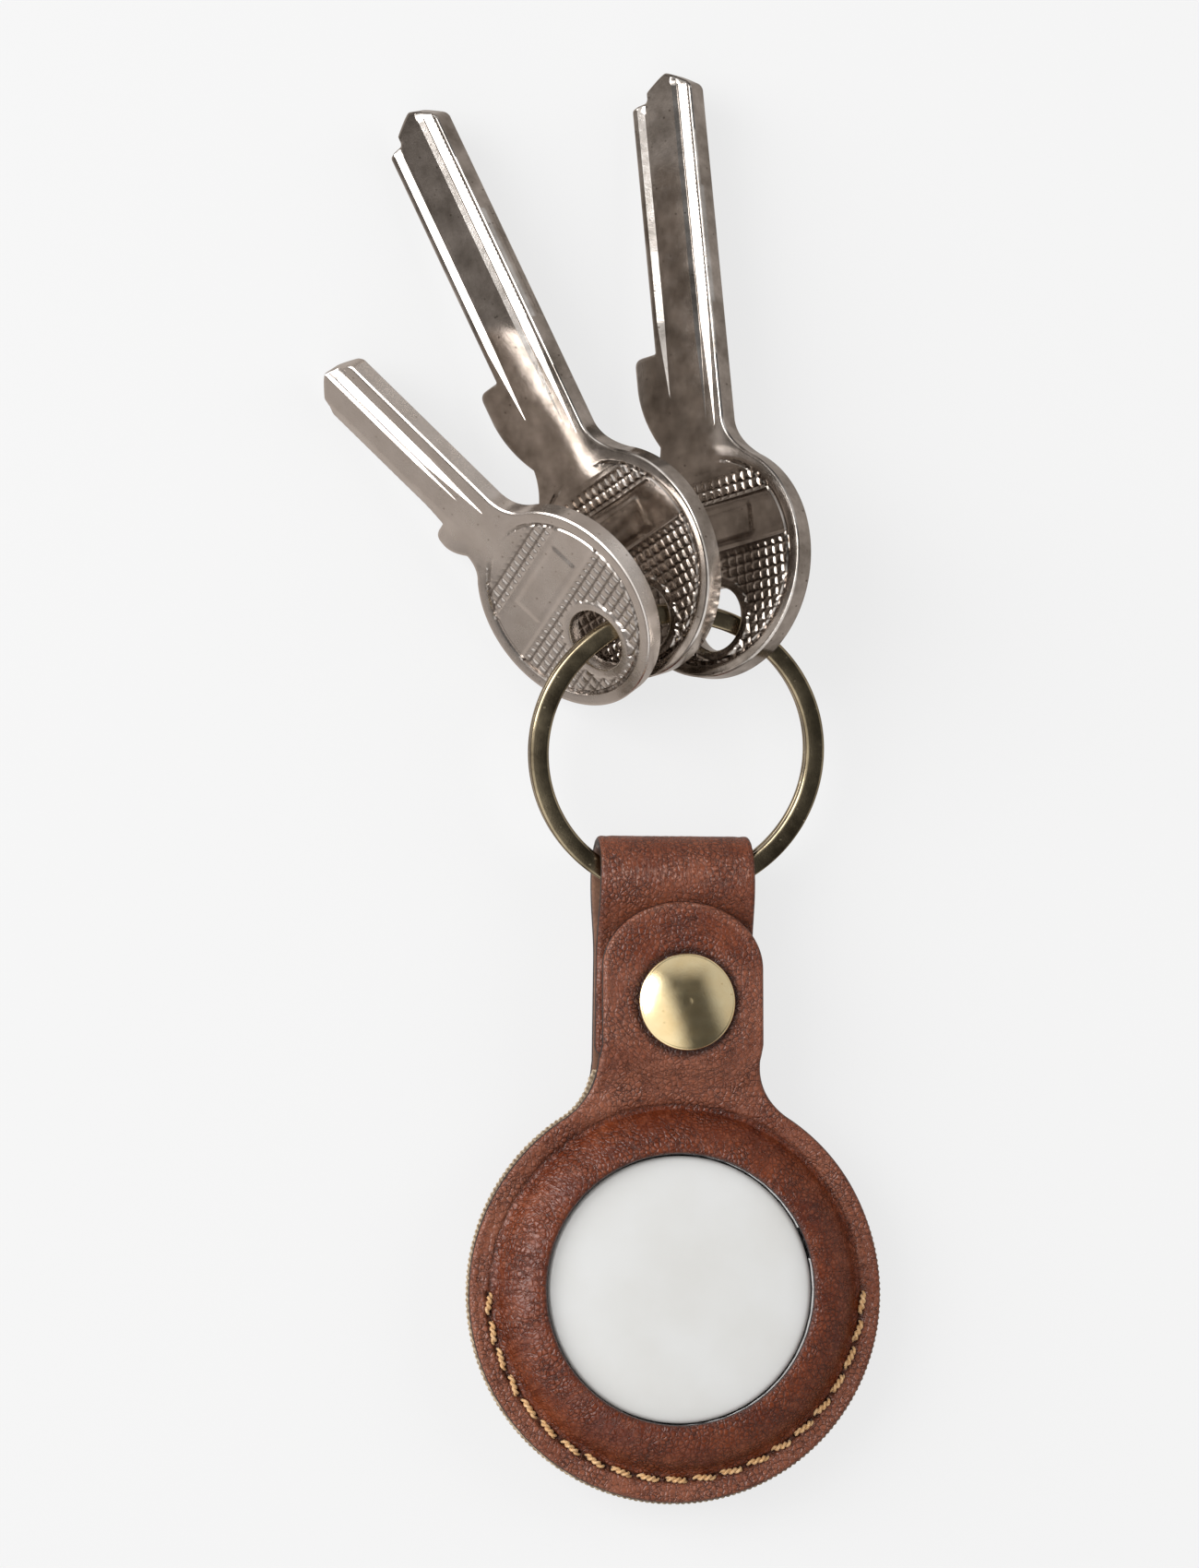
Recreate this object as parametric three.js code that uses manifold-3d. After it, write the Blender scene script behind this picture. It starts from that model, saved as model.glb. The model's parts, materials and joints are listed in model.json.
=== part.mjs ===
// Keychain: a leather holder for a round tracker tag, closed by a press stud, with a split ring
// in the fold of its strap and three keys on the ring.
// Millimetres, +Z up. The holder lies on its back and +Y runs from it to the keys.
import * as THREE from "three";
import { mergeVertices } from "three/addons/utils/BufferGeometryUtils.js";
import Module from "manifold-3d";

const wasm = await Module();
wasm.setup();

// ---- driving dimensions ----
const SEGMENTS = 36;
const SMALL_SEGMENTS = 16;
const ARC_STEPS = 13;

// Leather holder. MID_Z is the parting plane between its two panels.
const MID_Z = 5.8;
const LEATHER = 1.2;
const PANEL_GAP = 0.2;
const BODY_R = 19.9;
const BODY_Y = -0.4;
const STRAP_HALF = 7.8;
const FOLD_HALF = 7.35;
const NECK_FILLET = 6.5;
const WINDOW_R = 12.95;
const CREASE_R = 17.9;
const MOULD_FOOT_R = 18.3;
const FLANGE_HOLE_R = 17.5;
const PAN_FLAT_R = 9;
const LOOP_Y = 39.6;
const LOOP_OUTER_R = 4;
const STRAP_END_Y = 22.5;
const LINING = 0.3;

// Front tab, which turns at the neck.
const HINGE_Y = 19;
const HINGE_GAP = 0.3;
const TAB_X = 0.3;
const TAB_HALF = 7.75;
const TAB_ROUND_Y = 30.6;
const TAB_ROUND_H = 6.4;
const TAB_LIFT = 3.4;

// Stitching.
const SEAM_R = 18.15;
const THREAD_R = 0.28;

// Press stud.
const SNAP_X = 0.6;
const SNAP_Y = 27.4;
const CAP_R = 4.65;
const CAP_H = 1.35;
const SOCKET_R = 3.9;
const SOCKET_BORE_R = 2.45;
const STUD_HEAD_R = 1.8;
const POST_R = 1.35;
const POST_HOLE_R = 1.6;

// Split ring.
const RING_R = 13.4;
const WIRE_WIDE = 1.85;
const WIRE_THICK = 0.95;
const COIL_GAP = 0.15;
const RING_TILT = 12;
const RING_SEAT = 1.1;
const CROSSOVER = 30;
const RING_STEPS = 80;

// Keys.
const KEY_THICK = 2;
const GROOVE_DEEP = 0.6;

// Tracker tag.
const TAG_R = 15.95;
const TAG_HALF_T = 4;
const SHOULDER_R = 3;
const COVER_R = 12.75;
const BATTERY_R = 10;
const BATTERY_H = 3.2;
const LUG_COUNT = 3;
const LUG_ANGLE = 20;

const deg = THREE.MathUtils.degToRad;

// ---- finishes ----
function finish(color, roughness, metalness) {
  return new THREE.MeshStandardMaterial({ color, roughness, metalness });
}

const leather = finish(0x78402a, 0.55, 0);
const leatherEdge = finish(0x6b3722, 0.6, 0);
const liningCloth = finish(0xc9b598, 0.9, 0);
const thread = finish(0xc98f4a, 0.7, 0);
const brass = finish(0xc8a964, 0.25, 1);
const oldBrass = finish(0x6e6145, 0.35, 1);
const springSteel = finish(0xb9bcc0, 0.3, 1);
const nickel = finish(0xa59b92, 0.3, 1);
const darkNickel = finish(0x8d857e, 0.22, 1);
const whitePlastic = finish(0xf1f1ef, 0.3, 0);
const greyPlastic = finish(0x5b5d60, 0.6, 0);
const boardGreen = finish(0x1e4a38, 0.5, 0);
const magnetGrey = finish(0x8f9296, 0.4, 1);
const copper = finish(0xb4703c, 0.4, 1);
const gold = finish(0xcaa24a, 0.35, 1);
const steel = finish(0xd9d8d4, 0.12, 1);

// ---- solids ----
function toSolid(geometry) {
  const bare = geometry.clone();
  bare.deleteAttribute("normal");
  bare.deleteAttribute("uv");
  const merged = mergeVertices(bare, 1e-4);
  const corners = merged.index.array;
  const triVerts = [];
  for (let i = 0; i < corners.length; i += 3) {
    const [a, b, c] = corners.slice(i, i + 3);
    if (a !== b && b !== c && c !== a) {
      triVerts.push(a, b, c);
    }
  }
  return new wasm.Manifold(
    new wasm.Mesh({
      numProp: 3,
      vertProperties: new Float32Array(merged.attributes.position.array),
      triVerts: new Uint32Array(triVerts),
    }),
  );
}

function toGeometry(solid) {
  const mesh = solid.getMesh();
  const geometry = new THREE.BufferGeometry();
  geometry.setAttribute("position", new THREE.BufferAttribute(mesh.vertProperties, 3));
  geometry.setIndex(new THREE.BufferAttribute(mesh.triVerts, 1));
  geometry.computeVertexNormals();
  return geometry;
}

// A body of revolution about Z. The path's x is the radius and its y is the height.
function turned(path, segments = SEGMENTS, divisions = 3) {
  const points = path.getPoints(divisions);
  if (THREE.ShapeUtils.isClockWise(points)) {
    points.reverse();
  }
  const geometry = new THREE.LatheGeometry(points, segments);
  return geometry.rotateX(Math.PI / 2);
}

// A turned body whose section is a plain polygon of [radius, height] corners.
function turnedPolygon(corners, segments = SMALL_SEGMENTS) {
  const path = new THREE.Path(corners.map(([r, z]) => new THREE.Vector2(r, z)));
  if (corners[0][0] > 0) {
    path.closePath();
  }
  return turned(path, segments);
}

// A flat plate of the given outline from height low to height high.
function plate(shape, low, high, curveSegments = ARC_STEPS) {
  const settings = { depth: high - low, bevelEnabled: false, curveSegments };
  return new THREE.ExtrudeGeometry(shape, settings).translate(0, 0, low);
}

// A strip of even thickness that follows a centre line drawn in the YZ plane, half wide to each side.
function strip(centreLine, thickness, half, divisions) {
  const upper = [];
  const lower = [];
  for (let i = 0; i <= divisions; i += 1) {
    const point = centreLine.getPoint(i / divisions);
    const along = centreLine.getTangent(i / divisions);
    const across = new THREE.Vector2(-along.y, along.x).multiplyScalar(thickness / 2);
    upper.push(point.clone().add(across));
    lower.push(point.clone().sub(across));
  }
  const outline = new THREE.Shape([...lower, ...upper.reverse()]);
  const geometry = new THREE.ExtrudeGeometry(outline, { depth: 2 * half, bevelEnabled: false });
  const toYZ = new THREE.Matrix4().makeBasis(
    new THREE.Vector3(0, 1, 0),
    new THREE.Vector3(0, 0, 1),
    new THREE.Vector3(1, 0, 0),
  );
  return geometry.applyMatrix4(toYZ).translate(-half, 0, 0);
}

// A solid of the given flat section swept along a curve.
function swept(section, curve, steps) {
  return new THREE.ExtrudeGeometry(section, { steps, bevelEnabled: false, extrudePath: curve });
}

function roundSection(radius, sides) {
  const corners = [];
  for (let i = 0; i < sides; i += 1) {
    const angle = (2 * Math.PI * i) / sides;
    corners.push(new THREE.Vector2(radius * Math.cos(angle), radius * Math.sin(angle)));
  }
  return new THREE.Shape(corners);
}

// A level arc about the Z axis.
class LevelArc extends THREE.Curve {
  constructor(radius, height, start, sweep) {
    super();
    Object.assign(this, { radius, height, start, sweep });
  }

  getPoint(t) {
    const angle = deg(this.start + t * this.sweep);
    return new THREE.Vector3(this.radius * Math.cos(angle), this.radius * Math.sin(angle), this.height);
  }
}

// ---- leather holder ----
// Where the concave arc of the neck has its centre, on the right side.
function neckCentre() {
  const x = STRAP_HALF + NECK_FILLET;
  const reach = BODY_R + NECK_FILLET;
  return new THREE.Vector2(x, BODY_Y + Math.sqrt(reach * reach - x * x));
}

// The round body with its neck, cut off straight at topY.
function bodyOutline(topY, holeRadius) {
  const centre = neckCentre();
  const turn = Math.atan2(BODY_Y - centre.y, centre.x);
  const side = Math.atan2(centre.y - BODY_Y, -centre.x);
  const shape = new THREE.Shape();
  if (topY > centre.y) {
    shape.moveTo(STRAP_HALF, topY);
    shape.lineTo(-STRAP_HALF, topY);
    shape.absarc(-centre.x, centre.y, NECK_FILLET, 0, turn, true);
    shape.absarc(0, BODY_Y, BODY_R, side, Math.PI - side, false);
    shape.absarc(centre.x, centre.y, NECK_FILLET, Math.PI - turn, Math.PI, true);
  } else {
    const cut = Math.asin((topY - centre.y) / NECK_FILLET);
    shape.absarc(-centre.x, centre.y, NECK_FILLET, cut, turn, true);
    shape.absarc(0, BODY_Y, BODY_R, side, Math.PI - side, false);
    shape.absarc(centre.x, centre.y, NECK_FILLET, Math.PI - turn, Math.PI - cut, true);
  }
  shape.closePath();
  if (holeRadius) {
    const hole = new THREE.Path();
    hole.absarc(0, 0, holeRadius, 0, 2 * Math.PI, true);
    shape.holes.push(hole);
  }
  return shape;
}

function panLathe() {
  const low = MID_Z - PANEL_GAP - LEATHER;
  const high = MID_Z - PANEL_GAP;
  const path = new THREE.Path();
  path.moveTo(0, 0);
  path.lineTo(PAN_FLAT_R, 0);
  path.bezierCurveTo(13.4, 0, 16.8, 1.5, 17.2, low - 0.7);
  path.quadraticCurveTo(17.4, low, CREASE_R, low);
  path.lineTo(MOULD_FOOT_R, low);
  path.lineTo(MOULD_FOOT_R, high);
  path.lineTo(16.65, high);
  path.bezierCurveTo(16.4, 2.6, 12.9, LEATHER, 8, LEATHER);
  path.lineTo(0, LEATHER);
  return turned(path);
}

// The strap leaves the neck, folds round the ring and comes back over itself.
function strapLine() {
  const offset = PANEL_GAP + LEATHER / 2;
  const foldR = LOOP_OUTER_R - LEATHER / 2;
  const line = new THREE.Path();
  line.moveTo(STRAP_END_Y - 3, MID_Z - offset);
  line.lineTo(LOOP_Y - 8.2, MID_Z - offset);
  line.bezierCurveTo(LOOP_Y - 5, MID_Z - offset, LOOP_Y - 3.2, MID_Z - foldR, LOOP_Y, MID_Z - foldR);
  line.absarc(LOOP_Y, MID_Z, foldR, -Math.PI / 2, Math.PI / 2, false);
  line.bezierCurveTo(LOOP_Y - 3.2, MID_Z + foldR, LOOP_Y - 5, MID_Z + offset, LOOP_Y - 8.2, MID_Z + offset);
  line.lineTo(STRAP_END_Y, MID_Z + offset);
  return line;
}

// The strap seen from above narrows a little towards its fold.
function strapTaper() {
  const far = LOOP_Y + LOOP_OUTER_R + 1;
  return new THREE.Shape([
    new THREE.Vector2(STRAP_HALF, STRAP_END_Y - 4),
    new THREE.Vector2(FOLD_HALF, far),
    new THREE.Vector2(-FOLD_HALF, far),
    new THREE.Vector2(-STRAP_HALF, STRAP_END_Y - 4),
  ]);
}

function postHole() {
  const corners = [
    [0, -1],
    [POST_HOLE_R, -1],
    [POST_HOLE_R, 20],
    [0, 20],
  ];
  return toSolid(turnedPolygon(corners).translate(SNAP_X, SNAP_Y, 0));
}

function backPanel() {
  const low = MID_Z - PANEL_GAP - LEATHER;
  const high = MID_Z - PANEL_GAP;
  const flange = toSolid(plate(bodyOutline(STRAP_END_Y + 1, FLANGE_HOLE_R), low, high));
  const strap = toSolid(strip(strapLine(), LEATHER, STRAP_HALF, 44));
  const taper = toSolid(plate(strapTaper(), -1, 20));
  const solid = flange.add(toSolid(panLathe())).add(strap.intersect(taper)).subtract(postHole());
  return toGeometry(solid);
}

function pocketLining() {
  const low = MID_Z - LINING / 2;
  const high = MID_Z + LINING / 2;
  const path = new THREE.Path();
  path.moveTo(0, 1.27);
  path.lineTo(8, 1.27);
  path.bezierCurveTo(12.7, 1.27, 16.2, 2.7, 16.5, low);
  path.lineTo(MOULD_FOOT_R, low);
  path.lineTo(MOULD_FOOT_R, high);
  path.lineTo(16.2, high);
  path.bezierCurveTo(15.9, 2.9, 12.5, 1.57, 8, 1.57);
  path.lineTo(0, 1.57);
  const flange = toSolid(plate(bodyOutline(STRAP_END_Y - 0.6, FLANGE_HOLE_R), low, high));
  return toGeometry(flange.add(toSolid(turned(path))));
}

// The raised ring round the window is an arc of even thickness over the tag's shoulder.
function frontDome() {
  const low = MID_Z + PANEL_GAP;
  const high = low + LEATHER;
  const arcZ = MID_Z + 0.3;
  const inner = SHOULDER_R + 0.4;
  const outer = inner + LEATHER - 0.1;
  const rise = deg(25);
  const path = new THREE.Path();
  path.moveTo(MOULD_FOOT_R, low);
  path.lineTo(MOULD_FOOT_R, high);
  path.lineTo(CREASE_R, high);
  path.quadraticCurveTo(17.4, high, WINDOW_R + outer * Math.cos(rise), arcZ + outer * Math.sin(rise));
  path.absarc(WINDOW_R, arcZ, outer, rise, Math.PI / 2, false);
  path.lineTo(WINDOW_R, arcZ + inner);
  path.absarc(WINDOW_R, arcZ, inner, Math.PI / 2, 0, true);
  path.lineTo(WINDOW_R + inner, low);
  path.closePath();
  return turned(path);
}

function frontPanel() {
  const low = MID_Z + PANEL_GAP;
  const flange = plate(bodyOutline(HINGE_Y - HINGE_GAP / 2, FLANGE_HOLE_R), low, low + LEATHER);
  return toGeometry(toSolid(flange).add(toSolid(frontDome())));
}

// ---- front tab ----
function tabOutline() {
  const centre = neckCentre();
  const root = HINGE_Y + HINGE_GAP / 2;
  const cut = Math.asin((root - centre.y) / NECK_FILLET);
  const shape = new THREE.Shape();
  shape.absarc(centre.x, centre.y, NECK_FILLET, Math.PI - cut, Math.PI, true);
  shape.lineTo(TAB_X + TAB_HALF, centre.y + 1.5);
  shape.absellipse(TAB_X, TAB_ROUND_Y, TAB_HALF, TAB_ROUND_H, 0, Math.PI, false, 0);
  shape.lineTo(TAB_X - TAB_HALF, centre.y + 1.5);
  shape.absarc(-centre.x, centre.y, NECK_FILLET, 0, cut, true);
  shape.closePath();
  return shape;
}

function tabLine() {
  const root = MID_Z + PANEL_GAP + LEATHER / 2;
  const line = new THREE.Path();
  line.moveTo(HINGE_Y - 1, root);
  line.lineTo(HINGE_Y + 0.6, root);
  line.bezierCurveTo(HINGE_Y + 2.6, root, HINGE_Y + 2.6, root + TAB_LIFT, HINGE_Y + 5, root + TAB_LIFT);
  line.lineTo(TAB_ROUND_Y + TAB_ROUND_H + 2, root + TAB_LIFT);
  return line;
}

function snapTab() {
  const slab = toSolid(strip(tabLine(), LEATHER, BODY_R / 2, 24));
  const outline = toSolid(plate(tabOutline(), 0, 20));
  return toGeometry(slab.intersect(outline).subtract(postHole()));
}

// ---- stitching ----
function seamThread(height) {
  return swept(roundSection(THREAD_R, 6), new LevelArc(SEAM_R, height, 180, 180), 24);
}

// ---- press stud, every part turned about its own axis ----
const strapEndTop = MID_Z + PANEL_GAP + LEATHER;
const strapBack = MID_Z - PANEL_GAP - LEATHER;
const tabUnder = MID_Z + PANEL_GAP + TAB_LIFT;
const tabTop = tabUnder + LEATHER;

function snapStud() {
  const base = strapEndTop + 0.05;
  return turnedPolygon([
    [POST_R + 0.15, base],
    [3.6, base],
    [3.6, base + 0.3],
    [STUD_HEAD_R, base + 0.4],
    [STUD_HEAD_R, base + 1],
    [STUD_HEAD_R + 0.15, base + 1.3],
    [STUD_HEAD_R - 0.1, base + 1.55],
    [POST_R + 0.15, base + 1.55],
  ]);
}

function snapPost() {
  const low = strapBack - 0.5;
  const high = strapEndTop + 0.85;
  return turnedPolygon([
    [POST_R - 0.45, low + 0.1],
    [POST_R - 0.3, low],
    [3.2, low],
    [3.5, low + 0.2],
    [3.5, strapBack - 0.05],
    [POST_R, strapBack - 0.05],
    [POST_R, high],
    [POST_R - 0.45, high],
  ]);
}

function snapSocket() {
  const top = tabUnder - 0.05;
  const groove = top - 0.65;
  return turnedPolygon([
    [SOCKET_BORE_R, top - 1.5],
    [SOCKET_R - 0.7, top - 1.5],
    [SOCKET_R - 0.55, top - 0.35],
    [SOCKET_R, top - 0.3],
    [SOCKET_R, top],
    [SOCKET_BORE_R - 0.5, top],
    [SOCKET_BORE_R - 0.5, top - 0.2],
    [SOCKET_BORE_R, top - 0.2],
    [SOCKET_BORE_R, groove + 0.25],
    [SOCKET_BORE_R + 0.4, groove + 0.25],
    [SOCKET_BORE_R + 0.4, groove - 0.25],
    [SOCKET_BORE_R, groove - 0.25],
  ]);
}

function socketSpring() {
  const arc = new LevelArc(SOCKET_BORE_R + 0.15, tabUnder - 0.7, -60, 300);
  return swept(roundSection(0.16, 4), arc, 14);
}

function snapCap() {
  const low = tabTop + 0.05;
  const stem = tabUnder - 0.2;
  const path = new THREE.Path();
  path.moveTo(0, low + CAP_H - 0.25);
  path.quadraticCurveTo(0.35, low + CAP_H, 0.8, low + CAP_H);
  path.bezierCurveTo(2.8, low + CAP_H - 0.05, CAP_R - 0.1, low + 0.85, CAP_R, low + 0.25);
  path.lineTo(CAP_R - 0.15, low);
  path.lineTo(POST_R, low);
  path.lineTo(POST_R, stem);
  path.lineTo(0, stem);
  return turned(path, 20, 5);
}

// ---- split ring ----
// One wire goes round twice. It climbs from the lower coil to the upper one at the crossover.
class SplitRingLine extends THREE.Curve {
  getPoint(t) {
    const turn = CROSSOVER + t * (720 - CROSSOVER);
    const climb = THREE.MathUtils.smoothstep(turn, 360, 360 + CROSSOVER);
    const height = (climb - 0.5) * (WIRE_THICK + COIL_GAP);
    const angle = deg(turn - 90 - CROSSOVER / 2);
    return new THREE.Vector3(RING_R * Math.cos(angle), RING_R * Math.sin(angle), height);
  }
}

function splitRing() {
  const halfThick = WIRE_THICK / 2;
  const halfWide = WIRE_WIDE / 2;
  const chamfer = 0.25;
  const section = new THREE.Shape([
    new THREE.Vector2(-halfThick, -halfWide + chamfer),
    new THREE.Vector2(-halfThick + chamfer, -halfWide),
    new THREE.Vector2(halfThick - chamfer, -halfWide),
    new THREE.Vector2(halfThick, -halfWide + chamfer),
    new THREE.Vector2(halfThick, halfWide - chamfer),
    new THREE.Vector2(halfThick - chamfer, halfWide),
    new THREE.Vector2(-halfThick + chamfer, halfWide),
    new THREE.Vector2(-halfThick, halfWide - chamfer),
  ]);
  return swept(section, new SplitRingLine(), RING_STEPS);
}

// ---- keys ----
// A key stands on its own axes: x to the right of its front face, y from the bow's centre to the
// tip, z out of the front face.
const largeKey = {
  bowR: 11.25,
  hole: 5.7,
  holeR: 3.05,
  right: 3.35,
  left: -4.4,
  neck: 12.4,
  neckLeft: -4.95,
  shoulderLow: 18.4,
  shoulderHigh: 21.7,
  shoulderOut: -7.1,
  tip: 49,
};

const smallKey = {
  bowR: 10.35,
  hole: 4.4,
  holeR: 3.05,
  right: 3.7,
  left: -3.6,
  neck: 10.9,
  neckLeft: -4.2,
  shoulderLow: 13.3,
  shoulderHigh: 14.8,
  shoulderOut: -5.5,
  tip: 32.85,
};

function keyOutline(key) {
  const flare = key.bowR * 0.84;
  const side = Math.sqrt(key.bowR * key.bowR - flare * flare);
  const rightTurn = Math.atan2(flare, side);
  const { tip } = key;
  const shape = new THREE.Shape();
  shape.moveTo(key.right, key.neck + 1);
  shape.lineTo(key.right, tip - 2.2);
  shape.quadraticCurveTo(key.right - 0.1, tip - 1.8, key.right - 0.5, tip - 1.5);
  shape.quadraticCurveTo(0.6, tip, 0.2, tip);
  shape.quadraticCurveTo(-0.3, tip, -2.4, tip - 1.3);
  shape.lineTo(-2.9, tip - 2.1);
  shape.lineTo(key.left, tip - 2.6);
  shape.lineTo(key.left, key.shoulderHigh);
  shape.lineTo(key.shoulderOut + 0.9, key.shoulderHigh);
  shape.quadraticCurveTo(key.shoulderOut, key.shoulderHigh, key.shoulderOut, key.shoulderHigh - 0.9);
  shape.lineTo(key.shoulderOut, key.shoulderLow);
  shape.quadraticCurveTo(key.shoulderOut + 0.2, (key.neck + key.shoulderLow) / 2, key.neckLeft, key.neck);
  shape.quadraticCurveTo(key.neckLeft - 0.2, key.neck - 1.6, -side, flare);
  shape.absarc(0, 0, key.bowR, Math.PI - rightTurn, rightTurn, false);
  shape.quadraticCurveTo(key.right + 0.2, key.neck - 1, key.right, key.neck + 1);
  const hole = new THREE.Path();
  hole.absarc(0, -key.hole, key.holeR, 0, 2 * Math.PI, true);
  shape.holes.push(hole);
  return shape;
}

// A blank has long flat-bottomed grooves, two in its front and one in its back.
function keyBlank(key) {
  const grooves = [
    { x: key.left + 0.5, width: 1.8, side: 1 },
    { x: 1.4, width: 1.8, side: 1 },
    { x: -1.2, width: 1.6, side: -1 },
  ];
  const length = key.tip - key.neck;
  let solid = toSolid(plate(keyOutline(key), -KEY_THICK / 2, KEY_THICK / 2, 9));
  for (const { x, width, side } of grooves) {
    const bar = new THREE.BoxGeometry(width, length, 2 * GROOVE_DEEP);
    bar.translate(x, key.neck + 3 + length / 2, (side * KEY_THICK) / 2);
    solid = solid.subtract(toSolid(bar));
  }
  return toGeometry(solid).translate(0, key.hole, 0);
}

// ---- tracker tag, every part turned about its own axis, z = 0 at its middle ----
function lugWedge(inner, outer, low, high, middle, spread) {
  const shape = new THREE.Shape();
  const from = deg(middle - spread / 2);
  const to = deg(middle + spread / 2);
  shape.absarc(0, 0, outer, from, to, false);
  shape.absarc(0, 0, inner, to, from, true);
  shape.closePath();
  return toSolid(plate(shape, low, high, 3));
}

function trackerShell() {
  const arcZ = 0.3;
  const path = new THREE.Path();
  path.moveTo(0, -TAG_HALF_T);
  path.bezierCurveTo(11.5, -TAG_HALF_T, TAG_R, -2.6, TAG_R, -0.2);
  path.lineTo(TAG_R, arcZ);
  path.absarc(WINDOW_R, arcZ, SHOULDER_R, 0, Math.PI / 2, false);
  path.lineTo(WINDOW_R, arcZ + SHOULDER_R - 0.9);
  path.lineTo(14, arcZ + 1.8);
  path.lineTo(14.75, arcZ);
  path.lineTo(14.75, -0.4);
  path.bezierCurveTo(14.6, -2.2, 10.8, -TAG_HALF_T + 0.9, 0, -TAG_HALF_T + 0.9);
  let solid = toSolid(turned(path));
  for (let i = 0; i < LUG_COUNT; i += 1) {
    const middle = (360 / LUG_COUNT) * i + LUG_ANGLE;
    solid = solid.subtract(lugWedge(12.2, 13.45, 1.9, 4, middle, 14));
  }
  return toGeometry(solid);
}

function batteryCover() {
  const path = new THREE.Path();
  path.moveTo(0, 4);
  path.quadraticCurveTo(COVER_R * 0.7, 4, COVER_R - 0.3, 3.62);
  path.lineTo(COVER_R, 3.35);
  path.lineTo(COVER_R, 3.1);
  path.lineTo(12.55, 3.0);
  path.lineTo(12.55, 1.4);
  path.lineTo(12.25, 1.4);
  path.lineTo(12.25, 3.2);
  path.quadraticCurveTo(COVER_R * 0.65, 3.62, 0, 3.65);
  let solid = toSolid(turned(path));
  for (let i = 0; i < LUG_COUNT; i += 1) {
    solid = solid.add(lugWedge(12.3, 13.2, 1.4, 1.8, (360 / LUG_COUNT) * i, 11));
  }
  return toGeometry(solid);
}

function batteryTray() {
  const path = turnedPolygon(
    [
      [2.2, -0.95],
      [12.9, -0.95],
      [12.9, -0.45],
      [11.95, -0.45],
      [11.95, 2.6],
      [10.95, 2.6],
      [10.95, -0.35],
      [2.2, -0.35],
    ],
    SEGMENTS,
  );
  return path;
}

function coinBattery() {
  return turnedPolygon(
    [
      [0, 0],
      [BATTERY_R - 1.6, 0],
      [BATTERY_R - 1.4, 0.3],
      [BATTERY_R - 0.3, 0.35],
      [BATTERY_R, 0.6],
      [BATTERY_R, BATTERY_H - 0.2],
      [BATTERY_R - 0.2, BATTERY_H],
      [0, BATTERY_H],
    ],
    SEGMENTS,
  );
}

function circuitBoard() {
  const corners = [
    [5.6, -1.9],
    [12.7, -1.9],
    [12.7, -1.1],
    [5.6, -1.1],
  ];
  const notch = new THREE.BoxGeometry(3, 2.4, 3).translate(0, 12.6, -1.5);
  return toGeometry(toSolid(turnedPolygon(corners, 36)).subtract(toSolid(notch)));
}

function speakerMagnet() {
  return turnedPolygon([
    [0.9, -2.3],
    [3.9, -2.3],
    [4.1, -2.1],
    [4.1, -1.1],
    [0.9, -1.1],
  ]);
}

function voiceCoil() {
  return turnedPolygon([
    [4.4, -2.85],
    [5.1, -2.85],
    [5.1, -1.9],
    [4.4, -1.9],
  ]);
}

// A contact leaf under the battery, bent up in its middle.
function centerContact() {
  const line = new THREE.Path();
  line.moveTo(-4, -0.22);
  line.lineTo(-2, -0.22);
  line.quadraticCurveTo(0, -0.02, 2, -0.22);
  line.lineTo(4, -0.22);
  return strip(line, 0.12, 0.9, 12);
}

// A contact leaf that stands beside the battery against its rim.
function sideContact(angle) {
  const leaf = new THREE.BoxGeometry(0.2, 2.6, 1.6);
  return leaf.translate(BATTERY_R + 0.4, 0, 1.2).rotateZ(deg(angle));
}

// ---- assembly ----
const keychain = new THREE.Group();

function addNode(parent, name, geometry, material) {
  const mesh = new THREE.Mesh(geometry, material);
  mesh.name = name;
  parent.add(mesh);
  return mesh;
}

function addHolder(parent) {
  addNode(parent, "back_panel", backPanel(), leather);
  addNode(parent, "pocket_lining", pocketLining(), liningCloth);
  addNode(parent, "front_panel", frontPanel(), leather);
  addNode(parent, "snap_tab", snapTab(), leatherEdge);
  addNode(parent, "seam_thread_front", seamThread(strapEndTop + THREAD_R + 0.05), thread);
  addNode(parent, "seam_thread_back", seamThread(strapBack - THREAD_R - 0.05), thread);
}

function addSnap(parent) {
  const snap = new THREE.Group();
  snap.position.set(SNAP_X, SNAP_Y, 0);
  addNode(snap, "snap_post", snapPost(), brass);
  addNode(snap, "snap_stud", snapStud(), brass);
  addNode(snap, "snap_socket", snapSocket(), brass);
  addNode(snap, "socket_spring", socketSpring(), springSteel);
  addNode(snap, "snap_cap", snapCap(), brass);
  parent.add(snap);
}

function addTracker(parent) {
  const tag = new THREE.Group();
  tag.position.set(0, 0, MID_Z);
  addNode(tag, "tracker_shell", trackerShell(), whitePlastic);
  addNode(tag, "battery_tray", batteryTray(), greyPlastic);
  addNode(tag, "circuit_board", circuitBoard(), boardGreen);
  addNode(tag, "speaker_magnet", speakerMagnet(), magnetGrey);
  addNode(tag, "voice_coil", voiceCoil(), copper);
  addNode(tag, "coin_battery", coinBattery(), steel);
  addNode(tag, "center_contact", centerContact(), gold);
  addNode(tag, "side_contact_a", sideContact(100), gold);
  addNode(tag, "side_contact_b", sideContact(220), gold);
  addNode(tag, "battery_cover", batteryCover(), steel);
  parent.add(tag);
}

// A key hangs on the ring at the given angle. It points along heading, its right edge is raised by
// lean, and its tip points down by dip.
function addKey(ring, name, key, material, { at, heading, lean, dip }) {
  const mesh = addNode(ring, name, keyBlank(key), material);
  mesh.position.set(RING_R * Math.cos(deg(at)), RING_R * Math.sin(deg(at)), 0);
  const turn = new THREE.Euler(deg(-dip), deg(-lean), deg(heading - 90), "ZXY");
  const undoTilt = new THREE.Quaternion().setFromEuler(ring.rotation).invert();
  mesh.quaternion.setFromEuler(turn).premultiply(undoTilt);
}

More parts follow.
